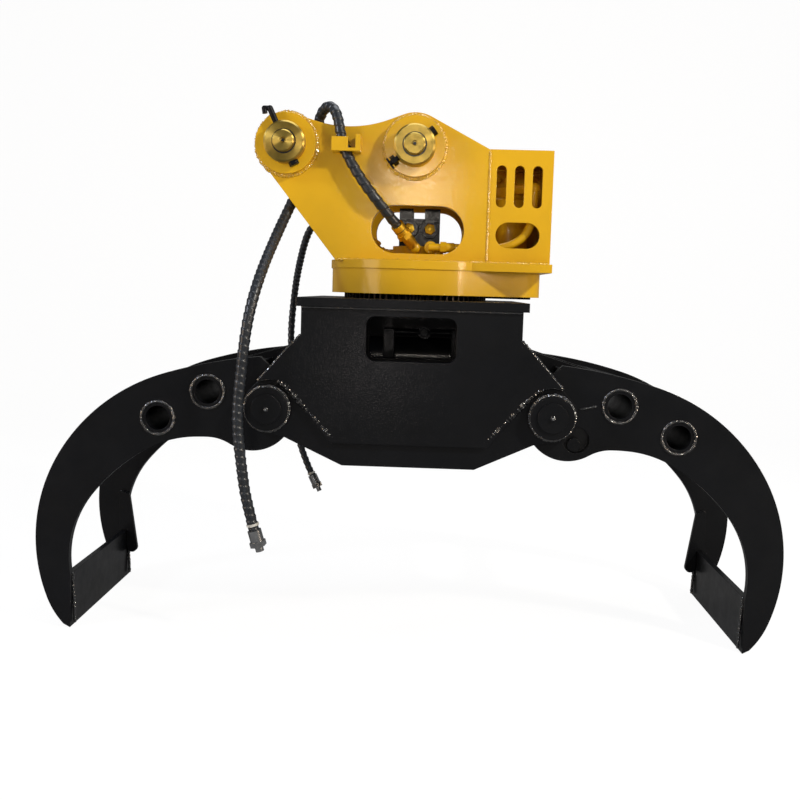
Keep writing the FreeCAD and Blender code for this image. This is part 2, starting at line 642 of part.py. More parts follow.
def make_cylinder():
    half = size("lug_near") - size("eye_gap")
    left, right = -CYLINDER_X, CYLINDER_X
    barrel_r, bore, rod = size("barrel_radius"), size("barrel_bore"), size("rod_radius")
    stroke = 4 * size("lug_reach") * math.sin(LEAN)
    start = left + size("cap_start")
    floor = start + size("cap_plate")
    gland_x = floor + size("piston_length") + stroke + size("stroke_spare")
    eye = new_body("cylinder_cap_eye")
    add_pad(eye, "front", belt([(left, CYLINDER_Z, size("eye_radius")), (start + 8, CYLINDER_Z, size("eye_radius") - 4)])
            + circle(left, CYLINDER_Z, size("cylinder_pin") + size("fit")),
            "2 * (Sizes.lug_near - Sizes.eye_gap)")
    eye.setExpression("Placement.Base.y", "Sizes.lug_near - Sizes.eye_gap")
    doc.recompute()
    tube = Part.makeCylinder(barrel_r, gland_x - start, Vector(start, 0, CYLINDER_Z), Vector(1, 0, 0))
    hollow = Part.makeCylinder(bore, gland_x - floor, Vector(floor, 0, CYLINDER_Z), Vector(1, 0, 0))
    shape = eye.Shape.fuse(tube)
    for x in (floor + 24, gland_x - 22):
        shape = shape.fuse(Part.makeCylinder(13, 22, Vector(x, 0, CYLINDER_Z + barrel_r - 6), Vector(0, 0, 1)))
        hollow = hollow.fuse(Part.makeCylinder(6, 40, Vector(x, 0, CYLINDER_Z + bore - 4), Vector(0, 0, 1)))
    pipe = size("line_radius")
    y, z = -barrel_r, CYLINDER_Z + barrel_r + pipe + size("line_rise")
    left_x, banjo_x, right_x = (start + size(name) for name in ("line_start", "line_banjo", "line_end"))
    for x, reach in ((left_x, pipe + 5), (right_x, pipe)):
        foot = Part.makeBox(2 * reach, 30, z + pipe - CYLINDER_Z, Vector(x - reach, y - 12, CYLINDER_Z))
        shape = shape.fuse(foot.makeChamfer(2, foot.Edges))
    shape = shape.fuse(rod_between(Vector(left_x, y, z), Vector(right_x + 14, y, z), pipe))
    shape = shape.fuse(Part.makeCylinder(pipe + 7, 16, Vector(banjo_x, y + 8, z), Vector(0, -1, 0)))
    shape = shape.fuse(hexagon(pipe, 10, Vector(banjo_x, y - 8, z), Vector(0, -1, 0)))
    shape = shape.fuse(hexagon(pipe + 5, 14, Vector(right_x + 9, y, z), Vector(1, 0, 0)))
    solid_group("cylinder_barrel", [shape.cut(hollow)])
    gland_out = size("gland_length") - 12
    gland = [(rod + size("fit"), -12), (bore, -12), (bore, 0), (barrel_r, 0), (barrel_r, gland_out - 4),
             (barrel_r - 4, gland_out), (rod + size("fit"), gland_out)]
    turned("cylinder_gland", gland, Placement(Vector(gland_x, 0, CYLINDER_Z), ALONG_X))
    piston = floor + 4
    length = right - size("eye_radius") + 6 - piston
    rod_shape = Part.makeCylinder(rod, length, Vector(piston, 0, CYLINDER_Z), Vector(1, 0, 0))
    rod_shape = rod_shape.fuse(Part.makeCylinder(bore - size("fit"), size("piston_length") - 8,
                                                 Vector(piston, 0, CYLINDER_Z), Vector(1, 0, 0)))
    rod_eye = Part.makeCylinder(size("eye_radius"), 2 * half, Vector(right, -half, CYLINDER_Z), Vector(0, 1, 0))
    rod_shape = rod_shape.fuse(rod_eye)
    slack = size("cylinder_pin") + size("eye_slack")
    rod_shape = rod_shape.cut(Part.makeCylinder(slack, 2 * half, Vector(right, -half, CYLINDER_Z), Vector(0, 1, 0)))
    solid_group("cylinder_rod", [rod_shape])


make_cylinder()


# Lower frame

def make_frame():
    hx, hy = size("flange_half_x"), size("flange_half_y")
    core = size("core_radius") + 12
    flat_plate("frame_flange_blank", box_outline(-hx, -hy, hx, hy, 4) + circle(0, 0, core),
               "Sizes.pivot_height + Sizes.flange_rise - Sizes.flange_plate", "Sizes.flange_plate")
    top = FLANGE_TOP - size("flange_plate")
    fx = size("frame_half_x")
    shoulder = top - size("shoulder_drop")
    belly = PIVOT_Z - size("belly_drop")
    haunch = (PIVOT_X - size("haunch_in"), PIVOT_Z - size("haunch_drop"))
    ear = size("ear_radius")
    window_top = top - size("window_drop")
    window = box_outline(-size("window_half"), window_top - size("window_height"), size("window_half"), window_top,
                         size("window_corner"))
    pins = circle(PIVOT_X, PIVOT_Z, size("pivot_pin")) + circle(-PIVOT_X, PIVOT_Z, size("pivot_pin"))
    outline = belt([
        (-size("belly_half"), belly, 0), (size("belly_half"), belly, 0), (haunch[0], haunch[1], 0),
        (PIVOT_X, PIVOT_Z, ear), (fx, shoulder, 0), (fx, top, 0), (-fx, top, 0), (-fx, shoulder, 0),
        (-PIVOT_X, PIVOT_Z, ear), (-haunch[0], haunch[1], 0)])
    standing_plate("frame_plate_front", outline + pins + window, "-Sizes.frame_inside", "Sizes.frame_plate")
    standing_plate("frame_plate_rear", outline + pins, "Sizes.frame_inside + Sizes.frame_plate", "Sizes.frame_plate")

    over = size("doubler_over_boss")
    db, dh = PIVOT_Z - size("doubler_drop"), size("doubler_half")
    run = Vector(PIVOT_X, PIVOT_Z, 0).sub(Vector(fx, shoulder, 0))
    lean = math.atan2(run.y, run.x) + math.asin(ear / run.Length)
    reach = math.sqrt(run.Length ** 2 - ear ** 2) - math.sqrt(over ** 2 - ear ** 2) - 2
    shoulder_end = (fx + reach * math.cos(lean), shoulder + reach * math.sin(lean))
    doubler = belt([
        (-dh, db, 12), (dh, db, 12), (PIVOT_X, PIVOT_Z, -over), (shoulder_end[0], shoulder_end[1], 0),
        (fx, shoulder, 0), (fx, top, 0), (-fx, top, 0), (-fx, shoulder, 0),
        (-shoulder_end[0], shoulder_end[1], 0), (-PIVOT_X, PIVOT_Z, -over)])
    standing_plate("frame_doubler_front", doubler + window, "-Sizes.frame_inside - Sizes.frame_plate",
                   "Sizes.doubler_plate")
    standing_plate("frame_doubler_rear", doubler, "Sizes.frame_inside + Sizes.frame_plate + Sizes.doubler_plate",
                   "Sizes.doubler_plate")
    rings = []
    out = size("doubler_plate") + size("pivot_boss_out")
    for side in (-1, 1):
        for y in (-size("frame_inside") - size("frame_plate") - out, size("frame_inside") + size("frame_plate")):
            start = Vector(side * PIVOT_X, y, PIVOT_Z)
            ring = Part.makeCylinder(size("pivot_boss"), out, start, Vector(0, 1, 0))
            rings.append(ring.cut(Part.makeCylinder(size("pivot_pin"), out, start, Vector(0, 1, 0))))
    solid_group("pivot_bosses", rings)

    ear_in = size("inner_ear")
    ex = size("end_wall_half") + size("end_wall_plate")
    wall_low = top - size("end_wall_height")
    inner = belt([(PIVOT_X, PIVOT_Z, ear_in), (ex, wall_low, 0), (ex, top, 0), (-ex, top, 0),
                  (-ex, wall_low, 0), (-PIVOT_X, PIVOT_Z, ear_in)])
    near, thick = size("inner_plate_near"), size("inner_plate")
    plates = [prism(inner + pins + window, -near, thick), prism(inner + pins, near + thick, thick)]
    solid_group("inner_pivot_plates", plates)

    walls = []
    inside = size("frame_inside")
    for x in (-ex, size("end_wall_half")):
        for y0, y1 in ((-inside, -near - thick), (near + thick, inside)):
            walls.append(Part.makeBox(size("end_wall_plate"), y1 - y0, top - wall_low,
                                      Vector(x, y0, wall_low)))
    solid_group("frame_end_walls", walls)

    bh, bz, plate = size("belly_half"), belly, size("belly_plate")
    rise = (haunch[1] - bz) / (haunch[0] - bh)
    tilt = math.atan(rise)
    reach = size("belly_reach")
    up = plate * math.tan(tilt / 2)
    low = [(-reach, bz + (reach - bh) * rise), (-bh, bz), (bh, bz), (reach, bz + (reach - bh) * rise)]
    high = [(reach - plate * math.sin(tilt), low[3][1] + plate * math.cos(tilt)), (bh - up, bz + plate),
            (-bh + up, bz + plate), (-reach + plate * math.sin(tilt), low[3][1] + plate * math.cos(tilt))]
    corners = [Vector(x, z, 0) for x, z in low + high]
    edges = [Part.LineSegment(a, b) for a, b in zip(corners, corners[1:] + corners[:1])]
    standing_plate("frame_belly", edges, "Sizes.frame_inside", "2 * Sizes.frame_inside")

    pins = []
    face = size("frame_inside") + size("frame_plate") + size("doubler_plate") + size("pivot_boss_out")
    for side in (-1, 1):
        for way in (-1, 1):
            base = Vector(side * PIVOT_X, way * near, PIVOT_Z)
            shank = Part.makeCylinder(size("pivot_pin"), face - near, base, Vector(0, way, 0))
            head_at = Vector(side * PIVOT_X, way * face, PIVOT_Z)
            head = Part.makeCylinder(size("pivot_head"), size("pivot_head_out"), head_at, Vector(0, way, 0))
            nipple = Part.makeCylinder(5, 7, Vector(side * PIVOT_X, way * (face + size("pivot_head_out")), PIVOT_Z),
                                       Vector(0, way, 0))
            pins.append(shank.fuse(head).fuse(nipple))
    solid_group("pivot_pins", pins)


make_frame()


# Slewing head

BASE_LOW = FLANGE_TOP + size("base_gap")
BASE_TOP = BASE_LOW + size("base_plate")
EAR_Z = BASE_TOP + size("ear_rise")
LINK_X = -size("ear_shift")
STICK_X = LINK_X - size("ear_pitch")
OVAL_Z = BASE_TOP + size("oval_rise")


def make_head():
    saddle = size("saddle_radius")
    outline = belt([
        (size("head_left"), BASE_TOP, 0), (size("head_right"), BASE_TOP, 0),
        (size("head_right"), EAR_Z - size("head_right_drop"), 0), (LINK_X, EAR_Z, size("link_lobe")),
        (STICK_X + size("saddle_out"), EAR_Z + size("saddle_rise") + saddle, -saddle),
        (STICK_X, EAR_Z, size("stick_lobe"))])
    oval = obround(size("oval_x"), OVAL_Z, 2 * size("oval_half"), 2 * size("oval_round"))
    bores = circle(LINK_X, EAR_Z, size("attach_pin")) + circle(STICK_X, EAR_Z, size("attach_pin"))
    edges = outline + oval + bores
    standing_plate("head_plate_front", edges, "-Sizes.ear_gap / 2", "Sizes.head_plate")
    standing_plate("head_plate_rear", edges, "Sizes.ear_gap / 2 + Sizes.head_plate", "Sizes.head_plate")

    half = size("ear_gap") / 2
    face = half + size("head_plate")
    discs = []
    for x in (STICK_X, LINK_X):
        for y in (-face - size("boss_plate"), face):
            start = Vector(x, y, EAR_Z)
            disc = Part.makeCylinder(size("boss_radius"), size("boss_plate"), start, Vector(0, 1, 0))
            discs.append(disc.cut(Part.makeCylinder(size("attach_pin"), size("boss_plate"), start, Vector(0, 1, 0))))
    solid_group("ear_bosses", discs)

    out = face + size("boss_plate")
    end = out + size("collar_length") + size("pin_out")
    pin, collar = size("attach_pin"), size("collar_radius")
    locks = []
    for name, x in (("stick", STICK_X), ("link", LINK_X)):
        place = Placement(Vector(x, 0, EAR_Z), ALONG_Y)
        lean = {"stick": 115, "link": 218}[name]
        way = Vector(math.cos(math.radians(lean)), 0, math.sin(math.radians(lean)))
        level = out + size("collar_length") / 2
        bore = Part.makeCylinder(size("lock_bolt"), 2 * collar + 4, Vector(x, -level, EAR_Z).sub(way * (collar + 2)), way)
        profile = [(0, -out - 18), (collar - 4, -out - 18), (collar, -out - 14), (collar, -out), (pin, -out),
                   (pin, end - 3), (pin - 3, end), (7, end), (7, end - 10), (0, end - 10)]
        body = turned(name + "_pin_blank", profile, place)
        ring = turned(name + "_collar_blank", [(pin, out), (collar, out), (collar, out + size("collar_length") - 4),
                                               (collar - 4, out + size("collar_length")),
                                               (pin, out + size("collar_length"))], place)
        doc.recompute()
        solid_group(name + "_pin", [body.Shape.cut(bore)])
        solid_group(name + "_collar", [ring.Shape.cut(bore)])
        bolt = size("lock_bolt")
        middle = Vector(x, -level, EAR_Z)
        head, nut, tail = bolt * 1.7, bolt * 1.8, bolt * 4
        lock = rod_between(middle.sub(way * (collar + head)), middle.add(way * (collar + tail)), bolt)
        lock = lock.fuse(hexagon(head, head, middle.sub(way * (collar + head)), way))
        if name == "stick":
            # this bolt ends in a bent handle
            bend = middle.add(way * (collar + tail + nut))
            hook = bend.add(Vector(-2.2 * bolt, 0, 0))
            lock = lock.fuse(rod_between(middle.add(way * collar), bend, bolt + 1))
            lock = lock.fuse(Part.makeSphere(bolt + 1, bend)).fuse(rod_between(bend, hook, bolt))
            lock = lock.fuse(Part.makeSphere(bolt, hook)).fuse(rod_between(hook, hook.add(Vector(bolt / 3, 0, -2 * bolt)), bolt))
        else:
            # this one has a slotted nut and a split pin
            lock = lock.fuse(hexagon(nut, nut, middle.add(way * (collar + bolt)), way))
            across = Vector(-way.z, 0, way.x)
            split = middle.add(way * (collar + bolt + nut + bolt))
            lock = lock.fuse(rod_between(split.sub(across * 2.4 * bolt), split.add(across * 2.4 * bolt), bolt / 2.5))
        locks.append(lock)
    solid_group("collar_lock_bolts", locks)

    inside = 2 * half
    notch = Part.makeBox(20, 30, 44, Vector(size("head_right") - 16, -half, BASE_TOP))
    thick = size("cross_plate")
    shelf_z = OVAL_Z + size("oval_round") + size("shelf_rise")
    shelf_x = size("oval_x") - size("shelf_reach")
    wall_x = size("head_right") - thick
    wall = Part.makeBox(thick, inside, shelf_z + size("shelf_rise") - BASE_TOP, Vector(wall_x, -half, BASE_TOP))
    shelf = Part.makeBox(wall_x - shelf_x, inside, thick, Vector(shelf_x, -half, shelf_z))
    walls = [wall.cut(notch), shelf]
    solid_group("head_cross_plates", walls)

    base_r, base_x, base_y = size("base_radius"), size("base_right"), size("base_half")
    meet = math.sqrt(base_r ** 2 - base_y ** 2)
    corners = [Vector(meet, -base_y, 0), Vector(base_x, -base_y, 0), Vector(base_x, base_y, 0), Vector(meet, base_y, 0)]
    rim = [Part.LineSegment(a, b) for a, b in zip(corners, corners[1:])]
    rim.append(Part.Arc(corners[3], Vector(-base_r, 0, 0), corners[0]))
    flat_plate("head_base_plate", rim + circle(0, 0, size("core_radius") + 6) + circle(AXIS_GAP, 0, size("shaft_radius") + 4),
               "Sizes.pivot_height + Sizes.flange_rise + Sizes.base_gap", "Sizes.base_plate")

    skirt, bulge, wall = (size("base_radius") - size("skirt_in")), size("skirt_bulge"), size("skirt_wall")
    edges = belt([(0, 0, skirt), (AXIS_GAP, 0, bulge)]) + belt([(0, 0, skirt - wall), (AXIS_GAP, 0, bulge - wall)])
    flat_plate("gear_guard", edges, "Sizes.pivot_height + Sizes.flange_rise + Sizes.skirt_gap",
               "Sizes.base_gap - Sizes.skirt_gap")

    gy, gw = size("guard_half_y"), size("guard_wall")
    guard = new_body("motor_guard")
    x0, x1 = size("head_right"), size("base_right") - 2
    add_pad(guard, "top", box_outline(x0, -gy, x1, gy), "Sizes.guard_high")
    hollow = add_pocket(guard, "top", box_outline(x0 - 1, -gy + gw, x1 - gw, gy - gw),
                        "Sizes.guard_high - Sizes.guard_wall", backwards=True)
    hollow.Label = "motor_guard_hollow"
    slots = []
    middle = size("slot_rise") + size("slot_length") / 2
    for i in range(3):
        slots += obround(x0 + size("slot_in") + i * size("slot_pitch"), middle, size("slot_width"), size("slot_length"))
    slots += obround(x0 + size("vent_in"), size("vent_rise"), size("vent_width"), size("vent_height"))
    cut = body_cut_through(guard, "front", slots, gy)
    cut.Label = "motor_guard_slots"
    guard.setExpression("Placement.Base.z", "Sizes.pivot_height + Sizes.flange_rise + Sizes.base_gap + Sizes.base_plate")


def body_cut_through(body, plane, edges, reach):
    """Openings cut both ways through a body."""
    pocket = body.newObject("PartDesign::Pocket", body.Name + "_through")
    pocket.Profile = add_sketch(body, plane, edges)
    pocket.Length = 2 * reach + 10
    pocket.Midplane = True
    return pocket


AXIS_GAP = size("gear_module") * (size("ring_teeth") + size("pinion_teeth")) / 2
make_head()


# Hose routes: centre lines from the fittings outward

FRONT_ROUTE = [
    (-46, -106, 964), (-86, -144, 1010), (-121, -144, 1052), (-150, -143, 1094),
    (-169, -142, 1130), (-180, -140, 1165), (-186, -137, 1197), (-197, -125, 1226), (-216, -100, 1237),
    (-234, -76, 1222), (-247, -62, 1180), (-258, -58, 1130), (-277, -60, 1070), (-302, -76, 1007), (-320, -130, 948),
    (-338, -225, 866), (-348, -290, 803), (-358, -318, 741), (-365, -326, 682), (-372, -328, 605), (-378, -327, 539),
    (-375, -328, 483), (-367, -328, 416), (-356, -326, 337), (-337, -322, 269)]
REAR_ROUTE = [
    (-128, 34, 938), (-170, 44, 968), (-214, 52, 988), (-256, 68, 986), (-287, 94, 962),
    (-306, 130, 928), (-324, 185, 883), (-339, 250, 833), (-347, 298, 775), (-351, 316, 710), (-351, 320, 640),
    (-346, 320, 536), (-333, 318, 423), (-310, 312, 339), (-282, 306, 284)]
MOTOR_ROUTE = [
    (62, -66, 900), (105, -84, 899), (150, -88, 902), (192, -90, 909), (228, -90, 923), (257, -88, 945),
    (272, -86, 977), (276, -85, 1012), (276, -85, 1040)]


def elbow(body_point, route, back, radius):
    """Port on a body, a ball at the bend and a stub that meets the fitting at the route's start."""
    start = Vector(*route[0])
    way = start.sub(Vector(*route[1])).normalize()
    face = start.add(way * back[0])
    ball = face.add(way * back[1])
    base = Vector(body_point[0], body_point[1], ball.z)
    shape = rod_between(base, ball, radius)
    shape = shape.fuse(Part.makeSphere(radius + 1, ball))
    return shape.fuse(rod_between(ball, face, radius - 2))


# Slew drive

def tooth_outline(teeth, outside):
    """One involute tooth about +X: flank points from the root to the tip, both flanks."""
    module = size("gear_module")
    pitch = module * teeth / 2
    base = pitch * math.cos(math.radians(20))
    root = pitch - 1.25 * module
    half = math.pi / (2 * teeth) - size("backlash") / 4 / pitch
    involute_at_pitch = math.tan(math.radians(20)) - math.radians(20)
    flank = []
    steps = 4
    low = max(root, base)
    for i in range(steps + 1):
        r = low + (outside - low) * i / steps
        a = math.acos(min(1, base / r))
        angle = half + involute_at_pitch - (math.tan(a) - a)
        flank.append((r, angle))
    right = [(root - 1, flank[0][1])] + flank
    points = [Vector(r * math.cos(-a), r * math.sin(-a), 0) for r, a in right]
    points += [Vector(r * math.cos(a), r * math.sin(a), 0) for r, a in reversed(right)]
    return [Part.LineSegment(a, b) for a, b in zip(points, points[1:] + points[:1])]


def gear(label, teeth_name, bore, bottom, width, turn_teeth=0.0):
    """Toothed ring: a plain rim at the root circle, one tooth, and the tooth repeated round it."""
    teeth = int(size(teeth_name))
    module = size("gear_module")
    body = new_body(label)
    root = module * teeth / 2 - 1.25 * module
    add_pad(body, "top", circle(0, 0, root) + circle(0, 0, bore), width)
    tooth = body.newObject("PartDesign::Pad", label + "_tooth")
    tooth.Profile = add_sketch(body, "top", tooth_outline(teeth, module * teeth / 2 + 0.9 * module))
    tooth.setExpression("Length", width)
    doc.recompute()
    pattern = body.newObject("PartDesign::PolarPattern", label + "_teeth")
    pattern.Originals = [tooth]
    axis = next(f for f in body.Origin.OriginFeatures if f.Role == "Z_Axis")
    pattern.Axis = (axis, [""])
    pattern.Angle = 360
    pattern.Occurrences = teeth
    body.Tip = pattern
    body.Placement = Placement(Vector(0, 0, 0), Rotation(Vector(0, 0, 1), 360.0 / teeth * turn_teeth))
    body.setExpression("Placement.Base.z", bottom)
    return body


def make_slew_drive():
    ring = gear("outer_ring_blank", "ring_teeth", size("outer_ring_bore"), "Sizes.pivot_height + Sizes.flange_rise", "Sizes.outer_ring_high")
    teeth = size("pinion_teeth")
    # the ring has a tooth at +X, so the pinion shows it a gap
    pinion = gear("pinion_blank", "pinion_teeth", size("shaft_radius"), "Sizes.pivot_height + Sizes.flange_rise + Sizes.gear_gap", "Sizes.gear_width",
                  0.5 if teeth % 2 == 0 else 0.0)
    pinion.Placement.Base.x = AXIS_GAP
    doc.recompute()
    ball_r, ball_z = size("ball_radius"), FLANGE_TOP + size("ball_rise")
    gear_low = FLANGE_TOP + size("gear_gap")
    circle_r = (size("outer_ring_bore") + size("inner_ring_out")) / 2
    race = Part.makeTorus(circle_r, ball_r + size("fit"), Vector(0, 0, ball_z))
    bolts = []
    holes = []
    top = FLANGE_TOP + size("outer_ring_high")
    bolt_circle = size("gear_module") * (size("ring_teeth") / 2 - 1.25) - size("ring_bolt") - 2.5
    bolt = size("ring_bolt")
    low = FLANGE_TOP - size("flange_plate")
    for i in range(16):
        a = math.radians(360 / 16 * (i + 0.5))
        spot = Vector(bolt_circle * math.cos(a), bolt_circle * math.sin(a), 0)
        holes.append(Part.makeCylinder(bolt, 2 * (top - low), spot.add(Vector(0, 0, low)), Vector(0, 0, 1)))
        shank = Part.makeCylinder(bolt, top - low, spot.add(Vector(0, 0, low)), Vector(0, 0, 1))
        bolts.append(shank.fuse(hexagon(bolt + 2.5, 8, spot.add(Vector(0, 0, top)), Vector(0, 0, 1))))
    rings = ring.Shape.cut(race)
    rings = rings.cut(Part.makeCompound(holes))
    solid_group("slew_gear_ring", [rings])
    solid_group("slew_ring_bolts", bolts)
    flange = doc.getObjectsByLabel("frame_flange_blank")[0]
    solid_group("frame_flange", [flange.Shape.cut(Part.makeCompound(holes))])

    inner_low = FLANGE_TOP + size("ring_gap")
    inner = Part.makeCylinder(size("inner_ring_out"), BASE_LOW - inner_low, Vector(0, 0, inner_low))
    inner = inner.cut(Part.makeCylinder(size("inner_ring_bore"), BASE_LOW - inner_low, Vector(0, 0, inner_low)))
    inner = inner.cut(race)
    solid_group("slew_inner_ring", [inner])
    balls = []
    count = int(size("ball_count"))
    for i in range(count):
        a = 2 * math.pi * (i + 0.25) / count
        balls.append(Part.makeSphere(ball_r, Vector(circle_r * math.cos(a), circle_r * math.sin(a), ball_z)))
    solid_group("slew_balls", balls)

    shaft_top = BASE_TOP + 30
    shaft = Part.makeCylinder(size("shaft_radius"), shaft_top - gear_low, Vector(AXIS_GAP, 0, gear_low))
    solid_group("drive_pinion", [pinion.Shape.fuse(shaft)])

    motor = turned("slew_motor_blank", [
        (size("shaft_radius") + size("fit"), 0), (size("motor_radius") + 9, 0), (size("motor_radius") + 9, 16),
        (size("motor_radius"), 20), (size("motor_radius"), size("motor_high") - 30),
        (size("motor_radius") - 8, size("motor_high") - 24), (size("motor_radius") - 8, size("motor_high")),
        (0, size("motor_high")), (0, 30.1), (size("shaft_radius") + size("fit"), 30.1)],
        Placement(Vector(AXIS_GAP, 0, BASE_TOP), Rotation()))
    doc.recompute()
    ports = motor.Shape
    for y in (-22, 22):
        spot = Vector(AXIS_GAP, y, BASE_TOP + size("motor_high"))
        ports = ports.fuse(Part.makeCylinder(13, 16, spot, Vector(0, 0, 1)))
        ports = ports.fuse(hexagon(11, 12, spot.add(Vector(0, 0, 16)), Vector(0, 0, 1)))
    top_down = [tuple(point) for point in reversed(MOTOR_ROUTE)]
    ports = ports.fuse(elbow((AXIS_GAP, -30), top_down, (0, 20), 12))
    solid_group("slew_motor", [ports])

    core_top = BASE_TOP + size("swivel_high") - 10
    core_low = FLANGE_TOP - size("flange_plate") - size("core_down")
    core = Part.makeCylinder(size("core_radius"), core_top - core_low, Vector(0, 0, core_low))
    foot = Part.makeCylinder(size("core_radius") + 26, 14,
                             Vector(0, 0, FLANGE_TOP - size("flange_plate") - 14))
    core = core.fuse(foot)
    for x in (-1, 1):
        core = core.fuse(Part.makeCylinder(10, size("core_radius") + 16, Vector(0, 0, core_low + 12), Vector(x, 0, 0)))
    solid_group("swivel_core", [core])
    housing_r = size("swivel_radius")
    inside = size("core_radius") + size("fit")
    housing = turned("swivel_housing_blank", [
        (inside, 0), (housing_r + 14, 0), (housing_r + 14, 12), (housing_r, 12), (housing_r, size("swivel_high")),
        (0, size("swivel_high")), (0, size("swivel_high") - 9.5), (inside, size("swivel_high") - 9.5)],
        Placement(Vector(0, 0, BASE_TOP), Rotation()))
    doc.recompute()
    body = housing.Shape
    crimp = size("crimp_length")
    body = body.fuse(elbow((-2, -50), FRONT_ROUTE, (crimp, 30), 12))
    body = body.fuse(elbow((-48, 12), REAR_ROUTE, (crimp, 16), 11))
    body = body.fuse(elbow((38, -42), MOTOR_ROUTE, (0, 14), 12))
    solid_group("swivel_housing", [body])


make_slew_drive()


# Hoses

def rounded_route(points):
    """Straight runs joined by tangent arcs as large as the runs allow."""
    edges = []
    at = points[0]
    radii = []
    for i in range(1, len(points) - 1):
        a, b, c = points[i - 1], points[i], points[i + 1]
        into, out = b.sub(a), c.sub(b)
        shorter = min(into.Length, out.Length)
        bend = into.getAngle(out)
        into.normalize()
        out.normalize()
        cut = 0.45 * shorter
        radius = cut / math.tan(bend / 2)
        radii.append(round(radius))
        start, end = b.sub(into * cut), b.add(out * cut)
        inward = out.sub(into)
        inward.normalize()
        centre = b.add(inward * (radius / math.cos(bend / 2)))
        middle = centre.sub(inward * radius)
        edges.append(Part.LineSegment(at, start).toShape())
        edges.append(Part.Arc(start, middle, end).toShape())
        at = end
    edges.append(Part.LineSegment(at, points[-1]).toShape())
    return Part.Wire(edges), radii


def hose(label, route, radius):
    points = [Vector(*p) for p in route]
    wire, radii = rounded_route(points)
    start = points[1].sub(points[0])
    section = Part.Wire([Part.Circle(points[0], start, radius).toShape()])
    tube = wire.makePipeShell([section], True, False)
    piece = solid_group(label, [tube])
    share = tube.Volume / (math.pi * radius ** 2 * wire.Length)
    print(label, "length", round(wire.Length), "radii", radii, "volume share", round(share, 4))
    return piece


hose("front_hose", FRONT_ROUTE, size("hose_radius"))
hose("rear_hose", REAR_ROUTE, size("hose_radius") - 3)
hose("motor_hose", MOTOR_ROUTE, size("motor_hose"))


def hose_end(tip, toward, radius):
    """Crimped sleeve, hexagon and cone at a hose's end."""
    way = toward.normalize()
    total = size("crimp_length")
    sleeve = Part.makeCylinder(radius + 2, total - 24, tip, way)
    nut = hexagon(radius + 3, 12, tip.add(way * (total - 24)), way)
    nose = Part.makeCylinder(radius - 4, 12, tip.add(way * (total - 12)), way)
    return sleeve.fuse(nut).fuse(nose)


def make_hose_ends():
    crimps = []
    for name, route, radius in (("front", FRONT_ROUTE, size("hose_radius")), ("rear", REAR_ROUTE, size("hose_radius") - 3)):
        tip = Vector(*route[-1])
        back = Vector(*route[-2])
        solid_group(name + "_hose_end", [hose_end(tip, tip.sub(back), radius)])
        start = Vector(*route[0])
        into = start.sub(Vector(*route[1]))
        crimps.append(hose_end(start, into, radius))
    solid_group("hose_crimps", crimps)


make_hose_ends()


def make_clip():
    """Open clip on the front side plate: shelf with the hose's hole, front flap and an upright."""
    face = -size("ear_gap") / 2 - size("head_plate")
    x, z = STICK_X + size("clip_out"), EAR_Z - size("clip_drop")
    depth, wall = size("clip_depth"), size("clip_wall")
    shelf = Part.makeBox(size("clip_length"), depth, wall, Vector(x, face - depth, z))
    flap = Part.makeBox(38, wall, 32, Vector(x, face - depth, z))
    upright = Part.makeBox(wall + 4, depth, 38, Vector(x + size("clip_length") - wall - 4, face - depth, z))
    clip = shelf.fuse(flap).fuse(upright)
    for low, high in zip(FRONT_ROUTE[2:6], FRONT_ROUTE[3:7]):
        clip = clip.cut(rod_between(Vector(*low), Vector(*high), size("hose_radius") + size("clip_fit")))
        clip = clip.cut(Part.makeSphere(size("hose_radius") + size("clip_fit"), Vector(*high)))
    solid_group("hose_clip", [clip])


make_clip()


def make_swivel_block():
    """Valve block on the swivel: two stacks with a gap between, and a round plug on each."""
    x0, x1 = -42, 56
    bottom = BASE_TOP + size("swivel_high")
    top = bottom + size("block_high")
    half = size("block_half")
    block = Part.makeBox(x1 - x0, 2 * half, top - bottom, Vector(x0, -half, bottom))
    block = block.cut(Part.makeBox(28, 2 * half, 24, Vector(-9, -half, top - 24)))
    for x in (-18, 32):
        centre = Vector(x, -half, bottom + size("block_high") / 2 - 4)
        block = block.fuse(Part.makeCylinder(22, 14, centre, Vector(0, -1, 0)))
        block = block.fuse(hexagon(11, 10, centre.add(Vector(0, -14, 0)), Vector(0, -1, 0)))
    solid_group("swivel_block", [block])


make_swivel_block()
doc.recompute()

NODES = """
left_tine_front left_tine_rear left_blade left_cross_pipes left_hub_sleeves left_cylinder_lugs left_top_cover
left_cylinder_pin left_link_pin right_tine_front right_tine_rear right_blade right_cross_pipes right_hub_sleeves
right_cylinder_lugs right_top_cover right_cylinder_pin crossing_link cylinder_barrel cylinder_gland cylinder_rod
frame_flange frame_plate_front frame_plate_rear frame_doubler_front frame_doubler_rear pivot_bosses
inner_pivot_plates frame_end_walls frame_belly pivot_pins slew_gear_ring slew_ring_bolts slew_balls slew_inner_ring
drive_pinion swivel_core swivel_housing slew_motor head_plate_front head_plate_rear ear_bosses stick_pin link_pin
stick_collar link_collar collar_lock_bolts head_cross_plates head_base_plate gear_guard motor_guard
swivel_block hose_clip front_hose rear_hose motor_hose front_hose_end rear_hose_end hose_crimps
""".split()

for thing in doc.Objects:
    if "Invalid" in thing.State or "Error" in thing.State:
        raise RuntimeError(f"{thing.Name} ({thing.Label}) failed: {thing.State}")

os.makedirs("parts", exist_ok=True)
for name in NODES:
    found = doc.getObjectsByLabel(name)
    if len(found) != 1:
        raise RuntimeError(f"{name}: {len(found)} objects carry this label")
    shape = found[0].Shape
    if shape.isNull() or not shape.isValid():
        raise RuntimeError(f"{name} has no valid shape")
    shape.exportStep(f"parts/{name}.step")
    box = shape.BoundBox
    print(f"{name}: {len(shape.Solids)} solids, volume {shape.Volume / 1000:.0f} cm3")
